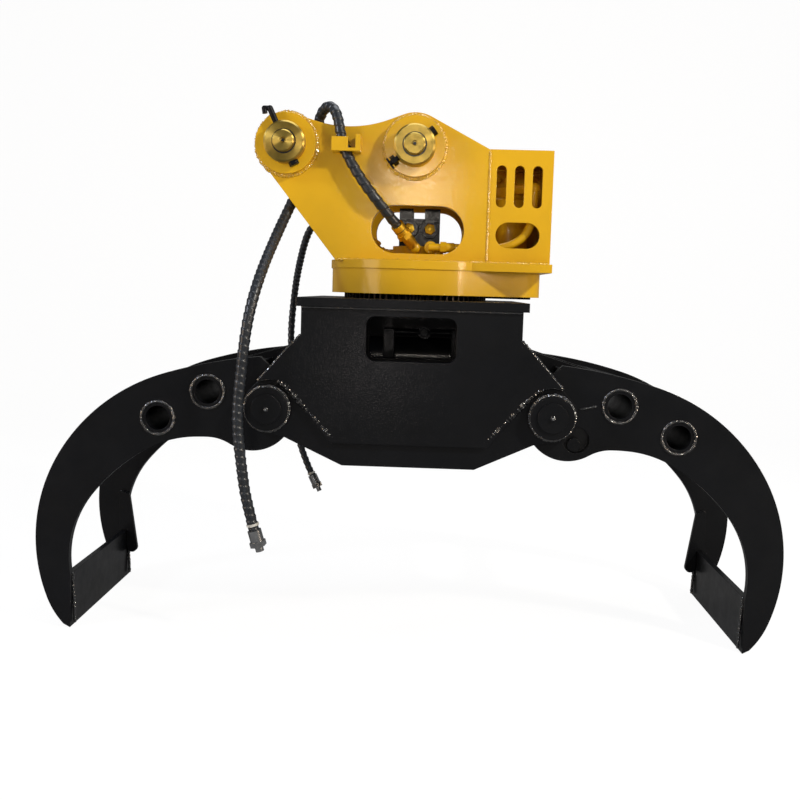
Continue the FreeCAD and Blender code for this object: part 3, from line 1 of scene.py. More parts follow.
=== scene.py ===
"""Looks of the rotating sorting grapple: paint, plating, hoses, weld beads and the studio round them."""
import math
import random

import bmesh
import bpy
from mathutils import Matrix, Vector


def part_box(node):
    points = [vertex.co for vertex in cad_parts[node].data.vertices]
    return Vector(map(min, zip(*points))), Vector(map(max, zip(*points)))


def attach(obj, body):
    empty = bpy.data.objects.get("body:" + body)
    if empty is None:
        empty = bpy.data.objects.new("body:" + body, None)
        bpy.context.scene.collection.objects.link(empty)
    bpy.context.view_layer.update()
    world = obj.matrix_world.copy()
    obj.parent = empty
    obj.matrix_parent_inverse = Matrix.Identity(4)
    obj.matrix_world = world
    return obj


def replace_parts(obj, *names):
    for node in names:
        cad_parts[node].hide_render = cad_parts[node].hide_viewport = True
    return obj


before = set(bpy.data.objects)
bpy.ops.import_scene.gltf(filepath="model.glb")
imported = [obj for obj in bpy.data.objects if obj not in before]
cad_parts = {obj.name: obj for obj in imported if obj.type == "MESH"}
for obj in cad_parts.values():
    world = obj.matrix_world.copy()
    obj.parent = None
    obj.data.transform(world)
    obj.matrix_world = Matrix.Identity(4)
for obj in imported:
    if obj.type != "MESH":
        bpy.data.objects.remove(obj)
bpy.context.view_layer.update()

bl_info = {
    "name": "Sorting Grapple",
    "version": (1, 0, 0),
    "blender": (4, 5, 0),
    "location": "View3D > Sidebar > Grapple",
    "description": "Dresses the rotating sorting grapple: paint, plating, hoses, welds and studio",
    "category": "Object",
}

MM = 0.001
TO_FRONT = (0, -1, 0)

# places that the pieces share with the solids, in mm
PINS = ((-307.5, 1143), (-7.5, 1143))   # x and z of the stick pin and the link pin
COLLAR_FACE = -175                      # y of the front collars' faces
PIN_FACE = -190                         # y of the pins' front ends
PLATE_FACE = 120                        # y of the head plates' outer faces, either side
SWIVEL = (-84, 915)                     # y and z of the motor hose's union
PIVOT = (320, 538)                      # x and z of a claw's pivot, either side
DOUBLER_FACE = 265.5                    # y of the frame doublers' outer faces
FLANGE_SEAM = 277                       # y of the seam under the flange
SHOULDER = (247, 706)                   # x and z of the doubler's upper end
CORNER = (171, 476)                     # x and z of the doubler's lower corner
TINE_FACE = 240                         # y of the tines' outer faces
TIP_X = 784                             # x of the claws' tips
LINK_HOLE = (380, 484)                  # x and z of the link's hole in the right claw
HOSE_STEP = 1.7                         # length of one step along a wrapped hose


def linear(hex_code):
    """sRGB hex colour to Blender's linear colour."""
    out = []
    for i in (1, 3, 5):
        c = int(hex_code[i:i + 2], 16) / 255
        out.append(c / 12.92 if c <= 0.04045 else ((c + 0.055) / 1.055) ** 2.4)
    return (out[0], out[1], out[2], 1.0)


def colour(hex_code, name, description):
    return bpy.props.FloatVectorProperty(name=name, description=description, subtype="COLOR", size=4,
                                         min=0, max=1, default=linear(hex_code))


def length(mm, name, description):
    return bpy.props.FloatProperty(name=name, description=description, unit="LENGTH", subtype="DISTANCE",
                                   min=0, default=mm * MM, precision=4)


class GrappleSizes(bpy.types.PropertyGroup):
    weld_ripple: length(4.0, "Weld ripple", "Distance between the ripples of a weld bead")
    wrap_pitch: length(16.5, "Wrap pitch", "Distance between the turns of the hose wrap")
    wrap_step: length(2.2, "Wrap step", "How far each turn of the wrap stands over the next")
    orange_peel: length(6.0, "Orange peel", "Size of the ripples in sprayed enamel, drawn coarse")
    grain: length(3.2, "Grain", "Size of the grains in the gloss, drawn coarse")


class GrappleColours(bpy.types.PropertyGroup):
    yellow: colour("#D7A80C", "Yellow", "Enamel of the slewing head")
    black: colour("#0A0C10", "Black", "Enamel of the frame and claws")
    zinc: colour("#D2B45C", "Yellow zinc", "Plating of the collars and pins")
    hose: colour("#20252C", "Hose wrap", "Plastic wrap of the hoses")
    steel: colour("#B9BBBD", "Bright zinc", "Plating of the hose fittings")
    floor: colour("#F4F4F4", "Floor", "Studio floor and backdrop")


# Materials

def feed(tree, node, inputs):
    """Sets a node's inputs, or links them where the value is a socket."""
    for key, value in inputs.items():
        if isinstance(value, bpy.types.NodeSocket):
            tree.links.new(value, node.inputs[key])
        else:
            node.inputs[key].default_value = value


def add(tree, kind, inputs=None, **settings):
    """One node with its settings, its inputs set or linked."""
    node = tree.nodes.new(kind)
    for key, value in settings.items():
        setattr(node, key, value)
    feed(tree, node, inputs or {})
    return node


def new_material(name):
    """Empty material with a Principled shader: material, tree, shader and millimetre coordinates."""
    material = bpy.data.materials.new(name)
    material.use_nodes = True
    tree = material.node_tree
    tree.nodes.clear()
    shader = add(tree, "ShaderNodeBsdfPrincipled")
    add(tree, "ShaderNodeOutputMaterial", {"Surface": shader.outputs["BSDF"]})
    place = add(tree, "ShaderNodeTexCoord")
    mm = add(tree, "ShaderNodeMapping", {"Vector": place.outputs["Object"], "Scale": (1000, 1000, 1000)})
    return material, tree, shader, mm.outputs["Vector"]


def shade(rgba, factor):
    return (min(1, rgba[0] * factor), min(1, rgba[1] * factor), min(1, rgba[2] * factor), 1.0)


def ramp(tree, factor, stops):
    """Colour ramp through (position, colour) stops."""
    node = add(tree, "ShaderNodeValToRGB", {"Fac": factor})
    bands = node.color_ramp.elements
    while len(bands) < len(stops):
        bands.new(0.5)
    for band, (position, rgba) in zip(bands, stops):
        band.position = position
        band.color = rgba
    return node.outputs["Color"]


def noise(tree, mm, size, detail, roughness=0.5):
    """Noise with features about `size` millimetres across."""
    node = add(tree, "ShaderNodeTexNoise", {"Vector": mm, "Scale": 1 / size, "Detail": detail,
                                            "Roughness": roughness})
    return node.outputs["Fac"]


def bump(tree, height, strength, depth, under=None):
    """Normal of a surface raised by `height` times `depth` millimetres, over the normal `under`."""
    node = add(tree, "ShaderNodeBump", {"Height": height, "Strength": strength, "Distance": depth * MM})
    if under:
        tree.links.new(under, node.inputs["Normal"])
    return node.outputs["Normal"]


def enamel(name, base, clouds, rough, specular, coat, grain_depth):
    """Sprayed enamel on plate: clouds in the colour, orange peel, a grainy gloss and softened edges."""
    sizes = bpy.context.scene.grapple_sizes
    material, tree, shader, mm = new_material(name)
    stops = [(0.3, shade(base, clouds[0])), (0.5, base), (0.72, shade(base, clouds[1]))]
    smears = add(tree, "ShaderNodeMapRange", {"Value": noise(tree, mm, 60, 5, 0.65),
                                              "From Min": 0.3, "From Max": 0.7,
                                              "To Min": rough[0], "To Max": rough[1]})
    edge = add(tree, "ShaderNodeBevel", {"Radius": 2.2 * MM}, samples=4).outputs["Normal"]
    feed(tree, shader, {
        "Base Color": ramp(tree, noise(tree, mm, 190, 3, 0.55), stops),
        "Roughness": smears.outputs["Result"],
        "Normal": bump(tree, noise(tree, mm, sizes.orange_peel / MM, 1.5), 0.6, 0.2, edge),
        "Coat Normal": bump(tree, noise(tree, mm, sizes.grain / MM, 1), 1.0, grain_depth, edge),
        "IOR": 1.5,
        "Specular IOR Level": specular,
        "Coat Weight": coat,
        "Coat Roughness": 0.1,
    })
    return material


def yellow_enamel():
    # gloss two-pack enamel, sprayed: warm yellow-orange with a wet highlight and a fine orange peel
    return enamel("sprayed_yellow_enamel", tuple(bpy.context.scene.grapple_colours.yellow),
                  clouds=(0.9, 1.06), rough=(0.4, 0.55), specular=0.25, coat=0.5, grain_depth=0.2)


def black_enamel():
    # semi-gloss black enamel, sprayed over mill-scale plate: near black, dull grey highlights on the nibs
    return enamel("sprayed_black_enamel", tuple(bpy.context.scene.grapple_colours.black),
                  clouds=(0.8, 1.3), rough=(0.34, 0.5), specular=0.15, coat=0.3, grain_depth=0.3)


def weld_paint(name, base, coat):
    """Enamel over weld beads: the same colour, glossier, with a spattered surface that sparkles."""
    material, tree, shader, mm = new_material(name)
    spots = noise(tree, mm, 3.4, 2)
    feed(tree, shader, {
        "Base Color": ramp(tree, spots, [(0.35, shade(base, 0.8)), (0.65, shade(base, 1.25))]),
        "Normal": bump(tree, spots, 1.0, 2.2),
        "Roughness": 0.2,
        "IOR": 1.9,
        "Coat IOR": 1.9,
        "Coat Weight": coat,
        "Coat Roughness": 0.05,
    })
    return material


def turned_zinc(name, base, centre):
    """Turned steel under yellow zinc: fine tool rings about `centre` (x, z) that fan the highlights out."""
    material, tree, shader, mm = new_material(name)
    axis = add(tree, "ShaderNodeVectorMath", {0: mm, 1: (centre[0], 0, centre[1])}, operation="SUBTRACT")
    flat = add(tree, "ShaderNodeVectorMath", {0: axis.outputs["Vector"], 1: (1, 0, 1)}, operation="MULTIPLY")
    radius = add(tree, "ShaderNodeVectorMath", {0: flat.outputs["Vector"]}, operation="LENGTH")
    rings = add(tree, "ShaderNodeTexNoise", {"W": radius.outputs["Value"], "Scale": 1 / 1.6, "Detail": 3},
                noise_dimensions="1D")
    stops = [(0.3, shade(base, 0.72)), (0.55, base), (0.8, shade(base, 1.2))]
    tangent = add(tree, "ShaderNodeTangent", direction_type="RADIAL", axis="Y")
    feed(tree, shader, {
        "Base Color": ramp(tree, noise(tree, mm, 25, 4), stops),
        "Normal": bump(tree, rings.outputs["Fac"], 0.5, 0.25),
        "Tangent": tangent.outputs["Tangent"],
        "Metallic": 1,
        "Roughness": 0.36,
        "Anisotropic": 0.85,
        # the tool marks run round the axis, so the highlight spreads along the radius
        "Anisotropic Rotation": 0.25,
    })
    return material


def metal(name, base, roughness, grain_mm, grain_depth=0.15):
    """Machined or plated steel with a faint grain and small stains."""
    material, tree, shader, mm = new_material(name)
    stops = [(0.3, shade(base, 0.7)), (0.7, shade(base, 1.15))]
    feed(tree, shader, {
        "Base Color": ramp(tree, noise(tree, mm, 18, 4), stops),
        "Normal": bump(tree, noise(tree, mm, grain_mm, 2), 0.4, grain_depth),
        "Metallic": 1,
        "Roughness": roughness,
    })
    return material


def hose_wrap(name, base):
    # spiral-cut polyethylene guard: bluish black, with lighter bluish-grey patches painted in as its cool
    # sheen, and a slight relief from the same noise
    material, tree, shader, mm = new_material(name)
    sheen_and_relief = noise(tree, mm, 7, 5, 0.7)
    feed(tree, shader, {
        # the lighter stops of this ramp are painted sheen
        "Base Color": ramp(tree, sheen_and_relief, [(0.35, shade(base, 0.55)), (0.55, base), (0.78, shade(base, 2.6))]),
        "Normal": bump(tree, sheen_and_relief, 0.4, 0.4),
        "Roughness": 0.4,
        "Coat Weight": 0.2,
        "Coat Roughness": 0.2,
    })
    return material


MADE = {}


def finish_of(name):
    """Each finish is made once and shared."""
    if name not in MADE:
        c = bpy.context.scene.grapple_colours
        makers = {
            "yellow": yellow_enamel,
            "black": black_enamel,
            "black_weld": lambda: weld_paint("black_enamel_on_weld", tuple(c.black), 0.5),
            "yellow_weld": lambda: weld_paint("yellow_enamel_on_weld", tuple(c.yellow), 0.8),
            "stick_zinc": lambda: turned_zinc("turned_yellow_zinc_left", tuple(c.zinc), PINS[0]),
            "link_zinc": lambda: turned_zinc("turned_yellow_zinc_right", tuple(c.zinc), PINS[1]),
            # black oxide on bolts: almost black, with a soft metal sheen
            "black_oxide": lambda: metal("black_oxide_steel", linear("#2A2A2C"), 0.42, 2.0),
            # ground and greased bearing steel, its colour also darkened as painted shade for the gap under the
            # gear guard
            "bearing": lambda: metal("greased_and_shade_darkened_bearing_steel", linear("#2E2A26"), 0.4, 3.0),
            # hard chrome on the piston rod: bright, very smooth
            "chrome": lambda: metal("hard_chrome", linear("#D8DADC"), 0.08, 6.0, 0.02),
            # bright zinc on the hose fittings: silver with a slight grain
            "bright_zinc": lambda: metal("bright_zinc_plate", tuple(c.steel), 0.24, 5.0, 1.2),
            # yellow zinc on the crimped fittings, lighter than on the turned collars
            "fitting_zinc": lambda: metal("yellow_zinc_plate", linear("#F0C640"), 0.42, 2.5),
            "hose": lambda: hose_wrap("spiral_wrap_polyethylene", tuple(c.hose)),
            # vinyl tape, black and dull, also used as painted shade in gaps, grooves and a hole; and pale
            # paper tape at the hoses' ends
            "tape": lambda: hose_wrap("black_vinyl_tape_and_painted_shade", linear("#0C0C0E")),
            "pale_tape": lambda: hose_wrap("pale_paper_tape", linear("#C9C9C2")),
        }
        MADE[name] = makers[name]()
    return MADE[name]


def paint(node_names, finish):
    """Gives CAD nodes their finish."""
    for name in node_names.split():
        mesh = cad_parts[name].data
        mesh.materials.clear()
        mesh.materials.append(finish_of(finish))


# Geometry helpers

def new_piece(name, bm, finish, body):
    """Mesh piece with smooth faces and sharp edges over 40 degrees, riding on a body."""
    mesh = bpy.data.meshes.new(name)
    bmesh.ops.recalc_face_normals(bm, faces=bm.faces)
    bm.to_mesh(mesh)
    bm.free()
    mesh.shade_smooth()
    mesh.set_sharp_from_angle(angle=math.radians(40))
    mesh.materials.append(finish_of(finish))
    piece = bpy.data.objects.new(name, mesh)
    bpy.context.scene.collection.objects.link(piece)
    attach(piece, body)
    return piece


def resample(points, step, closed=False):
    """The same line in equal steps."""
    if closed:
        points = points + [points[0]]
    runs = [(b - a).length for a, b in zip(points, points[1:])]
    total = sum(runs)
    count = max(2, round(total / step))
    out = []
    i, gone = 0, 0.0
    for k in range(count + (0 if closed else 1)):
        target = total * k / count
        while i < len(runs) - 1 and gone + runs[i] < target:
            gone += runs[i]
            i += 1
        share = (target - gone) / runs[i] if runs[i] else 0
        out.append(points[i].lerp(points[i + 1], min(1, share)))
    return out, total / count


def skin(bm, rings, closed):
    """Faces between rings of points, with a cap at each end unless the last ring meets the first."""
    pairs = list(zip(rings, rings[1:]))
    if closed:
        pairs.append((rings[-1], rings[0]))
    for low, high in pairs:
        for k in range(len(low)):
            after = (k + 1) % len(low)
            bm.faces.new((low[k], low[after], high[after], high[k]))
    if not closed:
        bm.faces.new(list(reversed(rings[0])))
        bm.faces.new(rings[-1])


def sweep(bm, points, sides, radius_at, closed=False):
    """Tube along the points: radius_at(step, angle) gives its surface, without twist."""
    count = len(points)
    ways = []
    for i in range(count):
        before = points[i - 1] if closed or i else points[i]
        after = points[(i + 1) % count] if closed or i < count - 1 else points[i]
        ways.append((after - before).normalized())
    side = ways[0].orthogonal().normalized()
    rings = []
    for i, (point, way) in enumerate(zip(points, ways)):
        side = (side - way * side.dot(way)).normalized()
        other = way.cross(side)
        ring = []
        for k in range(sides):
            angle = 2 * math.pi * k / sides
            radius = radius_at(i, angle)
            spot = point + side * (radius * math.cos(angle)) + other * (radius * math.sin(angle))
            ring.append(bm.verts.new(spot))
        rings.append(ring)
    skin(bm, rings, closed)


def bead(bm, points, radius, seed, closed=False):
    """Weld bead: overlapping ripples of slightly uneven width along a line of points in mm."""
    dice = random.Random(seed)
    step = bpy.context.scene.grapple_sizes.weld_ripple / 3
    line, step = resample([Vector(p) * MM for p in points], step, closed)
    ripples = [dice.uniform(0.82, 1.16) for _ in range(len(line) // 3 + 2)]
    wander = [dice.uniform(-0.10, 0.10) for _ in range(len(line) // 9 + 3)]

    def radius_at(i, angle):
        phase = (i % 3) / 3
        wave = wander[i // 9] * (1 - (i % 9) / 9) + wander[i // 9 + 1] * (i % 9) / 9
        taper = 1.0 if closed else min(1.0, 0.45 + 0.3 * min(i, len(line) - 1 - i))
        ripple = ripples[i // 3] * (1.0 - 0.16 * phase)
        return radius * MM * taper * (ripple + wave + dice.uniform(-0.09, 0.09))

    sweep(bm, line, 8, radius_at, closed)


def ring_points(x, y, z, radius):
    """Points on a circle square to Y, in mm."""
    turns = [math.radians(5 * i) for i in range(72)]
    return [(x + radius * math.cos(a), y, z + radius * math.sin(a)) for a in turns]


def lathe(bm, profile, base, axis, sides=48, hollow=False):
    """Turned solid, or a closed ring where hollow: (radius, height) pairs about an axis from a base, in mm."""
    axis = Vector(axis).normalized()
    side = axis.orthogonal().normalized()
    other = axis.cross(side)
    base = Vector(base)
    rings = []
    for radius, height in profile:
        ring = []
        for k in range(sides):
            a = 2 * math.pi * k / sides
            spot = base + axis * height + side * (radius * math.cos(a)) + other * (radius * math.sin(a))
            ring.append(bm.verts.new(spot * MM))
        rings.append(ring)
    skin(bm, rings, hollow)


# Hoses: control points in mm, close to those that the solid tubes follow

FRONT_ROUTE = [
    (-46, -106, 964), (-86, -144, 1010), (-121, -144, 1052), (-150, -143, 1094),
    (-169, -142, 1130), (-180, -140, 1165), (-186, -137, 1197), (-197, -125, 1226), (-216, -100, 1237),
    (-234, -76, 1222), (-247, -62, 1180), (-258, -58, 1130), (-277, -60, 1070), (-302, -76, 1007),
    (-320, -130, 948), (-338, -225, 866), (-348, -290, 803), (-358, -318, 741), (-365, -326, 682),
    (-372, -328, 605), (-378, -327, 539),
    (-375, -328, 483), (-367, -328, 416), (-356, -326, 337), (-337, -322, 269)]
REAR_ROUTE = [
    (-128, 34, 938), (-170, 44, 966), (-212, 52, 984), (-250, 68, 980), (-276, 94, 960),
    (-293, 130, 928), (-311, 185, 883), (-329, 250, 833), (-342, 298, 775), (-350, 316, 710),
    (-351, 320, 640), (-346, 320, 536), (-333, 318, 423), (-310, 312, 339), (-282, 306, 284)]
MOTOR_ROUTE = [
    (90, -84, 915), (122, -85, 914), (156, -88, 913), (192, -90, 915), (228, -90, 925), (257, -88, 945),
    (272, -86, 977), (276, -85, 1012), (276, -85, 1040)]


def centre_line(name, route):
    """Points read from the NURBS spline with the route as its control points, in metres."""
    curve = bpy.data.curves.new(name + "_line", "CURVE")
    curve.dimensions = "3D"
    spline = curve.splines.new("NURBS")
    spline.points.add(len(route) - 1)
    for point, spot in zip(spline.points, route):
        point.co = (*(Vector(spot) * MM), 1)
    spline.order_u = 3
    spline.use_endpoint_u = True
    spline.resolution_u = 12
    holder = bpy.data.objects.new(name + "_line", curve)
    bpy.context.scene.collection.objects.link(holder)
    bpy.context.view_layer.update()
    mesh = bpy.data.meshes.new_from_object(holder)
    points = [v.co.copy() for v in mesh.vertices]
    bpy.data.objects.remove(holder)
    bpy.data.meshes.remove(mesh)
    return points


def wrapped_hose(name, route, radius, near_length, seed):
    """Hose under a spiral guard: each turn stands over the next, a little unevenly."""
    sizes = bpy.context.scene.grapple_sizes
    line, step = resample(centre_line(name, route), HOSE_STEP * MM)
    dice = random.Random(seed)
    turned = [0.0]
    for i in range(len(line)):
        # the wrap is laid wider near the fitting
        wide = max(0.0, min(1.0, (near_length * MM - i * step) / 0.04))
        turned.append(turned[-1] + step / (sizes.wrap_pitch * (1 + 0.4 * wide)))
    uneven = [dice.uniform(-0.35, 0.2) for _ in range(int(turned[-1]) + 4)]

    def radius_at(i, angle):
        turns = turned[i] + angle / (2 * math.pi)
        share = turns % 1.0
        lift = (1 - share) if share > 0.12 else share / 0.12 * 0.88
        return radius * MM - sizes.wrap_step * (1 - lift) + 0.6 * MM * uneven[int(turns)]

    bm = bmesh.new()
    sweep(bm, line, 28, radius_at)
    piece = new_piece(name, bm, "hose", "head")
    return piece, line


class GRAPPLE_OT_hoses(bpy.types.Operator):
    """Lay the two wrapped hoses that hang from the head, with their bands"""
    bl_idname = "grapple.hoses"
    bl_label = "Hoses"

    def execute(self, context):
        front, line = wrapped_hose("front_wrapped_hose", FRONT_ROUTE, 13.2, 250, 5)
        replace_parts(front, "front_hose")
        rear, rear_line = wrapped_hose("rear_wrapped_hose", REAR_ROUTE, 10.2, 0, 8)
        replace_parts(rear, "rear_hose")
        paint("front_hose_end rear_hose_end", "bright_zinc")
        paint("hose_crimps", "fitting_zinc")
        motor_line, _ = resample(centre_line("painted_motor_hose", MOTOR_ROUTE), 3 * MM)
        bm = bmesh.new()
        sweep(bm, motor_line, 24, lambda i, angle: 10 * MM)
        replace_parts(new_piece("painted_motor_hose", bm, "yellow", "head"), "motor_hose")
        union = bmesh.new()
        along = (1, 0, 0)
        sleeve = [(8, 0), (9, 1), (9, 40), (11.5, 42), (11.5, 60), (10.4, 62)]
        lathe(union, sleeve, (30, *SWIVEL), along, 32)
        lathe(union, [(14, 0), (14, 13), (12.6, 15)], (58, *SWIVEL), along, 6)
        banjo = [(15, 0), (15, 22), (12.5, 25), (7, 25.5), (7, 30), (5, 31.5)]
        lathe(union, banjo, (35, -58, SWIVEL[1]), TO_FRONT, 32)
        new_piece("painted_union", union, "yellow", "head")
        front_way = (line[-1] - line[-14]).normalized()
        tape = bmesh.new()
        lathe(tape, [(13.2, 0), (14.2, 0.6), (14.2, 5.4), (13.2, 6)], line[-1] / MM - front_way * 16,
              front_way)
        rear_way = (rear_line[-1] - rear_line[-8]).normalized()
        lathe(tape, [(10, 0), (11.2, 0.6), (11.2, 4.4), (10, 5)], rear_line[-1] / MM - rear_way * 8,
              rear_way)
        new_piece("pale_hose_bands", tape, "pale_tape", "head")
        dark = bmesh.new()
        for distance in (212, 232):
            nearest = round(distance / HOSE_STEP)
            at = line[nearest]
            way = (line[nearest + 3] - at).normalized()
            lathe(dark, [(13, 0), (14.6, 0.6), (14.6, 8.4), (13, 9)], at / MM, way)
        new_piece("dark_hose_tape", dark, "tape", "head")
        start_way = (line[0] - line[6]).normalized()
        # black rings on the ferrule: painted shade for its two grooves
        ferrule = bmesh.new()
        for out in (14, 27):
            lathe(ferrule, [(15, 0), (15.9, 0.3), (15.9, 1.5), (15, 1.8)], line[0] / MM + start_way * out,
                  start_way)
        new_piece("ferrule_groove_shade_rings", ferrule, "tape", "head")
        neck = bmesh.new()
        stages = [(11, 28), (13.6, 29), (13.6, 60), (12.4, 62), (12.4, 70), (10.5, 72)]
        lathe(neck, stages, line[0] / MM, start_way, 32)
        new_piece("ferrule_neck", neck, "fitting_zinc", "head")
        return {"FINISHED"}


# Head

class GRAPPLE_OT_head(bpy.types.Operator):
    """Paint the slewing head and plate its pins, collars and bolts"""
    bl_idname = "grapple.head"
    bl_label = "Slewing head"

    def execute(self, context):
        paint("head_plate_front head_plate_rear ear_bosses head_cross_plates head_base_plate gear_guard "
              "motor_guard hose_clip swivel_housing slew_motor", "yellow")
        paint("swivel_block", "black")
        paint("stick_pin stick_collar", "stick_zinc")
        paint("link_pin link_collar", "link_zinc")
        paint("collar_lock_bolts slew_ring_bolts", "black_oxide")
        paint("slew_gear_ring slew_inner_ring slew_balls drive_pinion swivel_core", "bearing")
        # painted shade: a black ring in the gap between pin and collar, and a black square over the pin's
        # threaded hole
        gaps = bmesh.new()
        gap_shade_ring = [(24.2, 0), (24.2, 0.8), (28.2, 0.8), (28.2, 0)]
        for x, z in PINS:
            lathe(gaps, gap_shade_ring, (x, COLLAR_FACE, z), TO_FRONT, hollow=True)
            lathe(gaps, [(4.6, 0), (4.6, 0.3)], (x, PIN_FACE - 0.1, z), TO_FRONT, sides=4)
        new_piece("pin_joints", gaps, "tape", "head")
        # sheet behind the slew motor, inside the guard
        shield = bmesh.new()
        outline = [(96, 892), (96, 1112), (92, 1118), (70, 1118),
                   (70, 1115), (91, 1115), (93, 1111), (93, 892)]
        ends = [[shield.verts.new(Vector((x, y, z)) * MM) for y, z in outline] for x in (184, 308)]
        shield.faces.new(ends[0])
        shield.faces.new(list(reversed(ends[1])))
        for k in range(len(outline)):
            after = (k + 1) % len(outline)
            shield.faces.new((ends[0][after], ends[0][k], ends[1][k], ends[1][after]))
        for x in (200, 292):
            for z in (905, 1095):
                lathe(shield, [(8, 0), (8, 5), (7, 6)], (x, 93.2, z), TO_FRONT, 6)
        new_piece("motor_shield", shield, "yellow", "head")
        plugs = bmesh.new()
        for x in (-18, 32):
            lathe(plugs, [(13.2, 0), (13.2, 10.5), (11.6, 11.6)], (x, -56, 959), TO_FRONT, sides=6)
            lathe(plugs, [(5, 11), (5, 15), (3.4, 16.4)], (x, -56, 959), TO_FRONT, sides=20)
        new_piece("port_plugs", plugs, "fitting_zinc", "head")
        return {"FINISHED"}


class GRAPPLE_OT_head_welds(bpy.types.Operator):
    """Weld beads of the slewing head"""
    bl_idname = "grapple.head_welds"
    bl_label = "Head welds"

    def execute(self, context):
        bm = bmesh.new()
        for side in (-1, 1):
            y = side * PLATE_FACE
            bead(bm, [(-190, y, 880), (316, y, 880)], radius=4, seed=11)
            bead(bm, [(168, y, 884), (168, y, 1140)], radius=3, seed=12)
            for x, z in PINS:
                bead(bm, ring_points(x, y - side, z, 71), radius=7, seed=13, closed=True)
        new_piece("head_weld_beads", bm, "yellow_weld", "head")
        return {"FINISHED"}


# Frame

def tangent_corner(pivot, radius, corner, far):
    """Where a line from the corner that touches a circle round the pivot meets the larger circle `far`."""
    run = (pivot[0] - corner[0], pivot[1] - corner[1])
    reach = math.hypot(*run)
    lean = math.atan2(run[1], run[0]) + math.asin(radius / reach)
    along = math.sqrt(reach ** 2 - radius ** 2) - math.sqrt(far ** 2 - radius ** 2)
    return corner[0] + along * math.cos(lean), corner[1] + along * math.sin(lean)


def doubler_edge():
    """Lower edge of the doubler from the left shoulder to the right one, in (x, z) mm."""
    over = 66
    end = tangent_corner(PIVOT, 58, SHOULDER, over)
    run = (PIVOT[0] - CORNER[0], PIVOT[1] - CORNER[1])
    touch_angle = math.atan2(run[1], run[0]) + math.asin(over / math.hypot(*run)) + math.pi / 2
    half = [SHOULDER, end]
    first = math.atan2(end[1] - PIVOT[1], end[0] - PIVOT[0])
    last = touch_angle if touch_angle > first else touch_angle + 2 * math.pi
    for i in range(1, 19):
        a = first + (last - first) * i / 18
        half.append((PIVOT[0] + over * math.cos(a), PIVOT[1] + over * math.sin(a)))
    half += [(176, 480), (168, 476)]
    return half


class GRAPPLE_OT_frame(bpy.types.Operator):
    """Paint the lower frame, its cylinder and link, and lay its weld beads"""
    bl_idname = "grapple.frame"
    bl_label = "Lower frame"

    def execute(self, context):
        paint("frame_flange frame_plate_front frame_plate_rear frame_doubler_front frame_doubler_rear "
              "pivot_bosses inner_pivot_plates frame_end_walls frame_belly pivot_pins crossing_link "
              "cylinder_barrel cylinder_gland", "black")
        paint("cylinder_rod", "chrome")
        bm = bmesh.new()
        half = doubler_edge()
        for side in (-1, 1):
            y = side * DOUBLER_FACE
            for flip in (-1, 1):
                # thin along the shoulder and round the boss, full on the long slope
                bead(bm, [(flip * x, y, z) for x, z in half[:12]], radius=4.5, seed=21 + flip)
                bead(bm, [(flip * x, y + side * 3.5, z) for x, z in half[11:]], radius=8, seed=25 + flip)
                boss = ring_points(flip * PIVOT[0], y + side * 10, PIVOT[1], 49)
                bead(bm, boss, radius=6.5, seed=24, closed=True)
            bead(bm, [(168, y, 475), (-168, y, 475)], radius=2.2, seed=27)
            seam = side * FLANGE_SEAM
            bead(bm, [(-247, seam, 769), (247, seam, 769)], radius=4, seed=29)
        new_piece("frame_weld_beads", bm, "black_weld", "lower_frame")
        nipples = bmesh.new()
        nipple = [(5.3, 0), (5.3, 4), (3.4, 5), (3.4, 7), (2.2, 7.6)]
        for x in (-PIVOT[0], PIVOT[0]):
            for way in (-1, 1):
                lathe(nipples, nipple, (x, way * 295, PIVOT[1]), (0, way, 0), 20)
        new_piece("grease_nipples", nipples, "bright_zinc", "lower_frame")
        return {"FINISHED"}


# Claws

class GRAPPLE_OT_claws(bpy.types.Operator):
    """Paint the claws and lay the weld beads round their pipes and blades"""
    bl_idname = "grapple.claws"
    bl_label = "Claws"

    def execute(self, context):
        for side in ("left", "right"):
            paint(" ".join(f"{side}_{part}" for part in
                           ("tine_front", "tine_rear", "blade", "cross_pipes", "hub_sleeves", "cylinder_lugs",
                            "top_cover")), "black")
            paint(f"{side}_cylinder_pin", "black_oxide")
        paint("left_link_pin", "black_oxide")
        pipes = {"left": [(-463, 568), (-578, 504)], "right": [(475, 564), (611, 497)]}
        for side, sign in (("left", -1), ("right", 1)):
            bm = bmesh.new()
            low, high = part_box(side + "_blade")
            tip_x = sign * TIP_X
            top_x = (low.x if sign > 0 else high.x) / MM
            top_z = high.z / MM
            for y in (-TINE_FACE, TINE_FACE):
                for x, z in pipes[side]:
                    bead(bm, ring_points(x, y, z, 38), radius=4, seed=int(abs(x)), closed=True)
            for y in (-221, 221):
                bead(bm, [(top_x, y, top_z), (tip_x - sign * 6, y, 6)], radius=4, seed=35)
            if side == "right":
                # end of the seam that the front cheek hides
                y = -TINE_FACE - 1
                bead(bm, [(384.6, y, 554.8), (424.4, y, 563.4)], radius=2.5, seed=37)
            new_piece(side + "_claw_weld_beads", bm, "black_weld", side + "_claw")
        # black disc behind the link's hole in the front plate: painted shade that keeps the hole dark
        hole_shade = bmesh.new()
        lip = [(40, 0), (40, 1.6), (34, 1.8), (32, 2.4), (30, 1.8), (2, 1.6), (2, 0)]
        lathe(hole_shade, lip, (LINK_HOLE[0], -219.7, LINK_HOLE[1]), (0, 1, 0), hollow=True)
        new_piece("link_hole_shade_disc", hole_shade, "tape", "right_claw")
        return {"FINISHED"}


# Stage

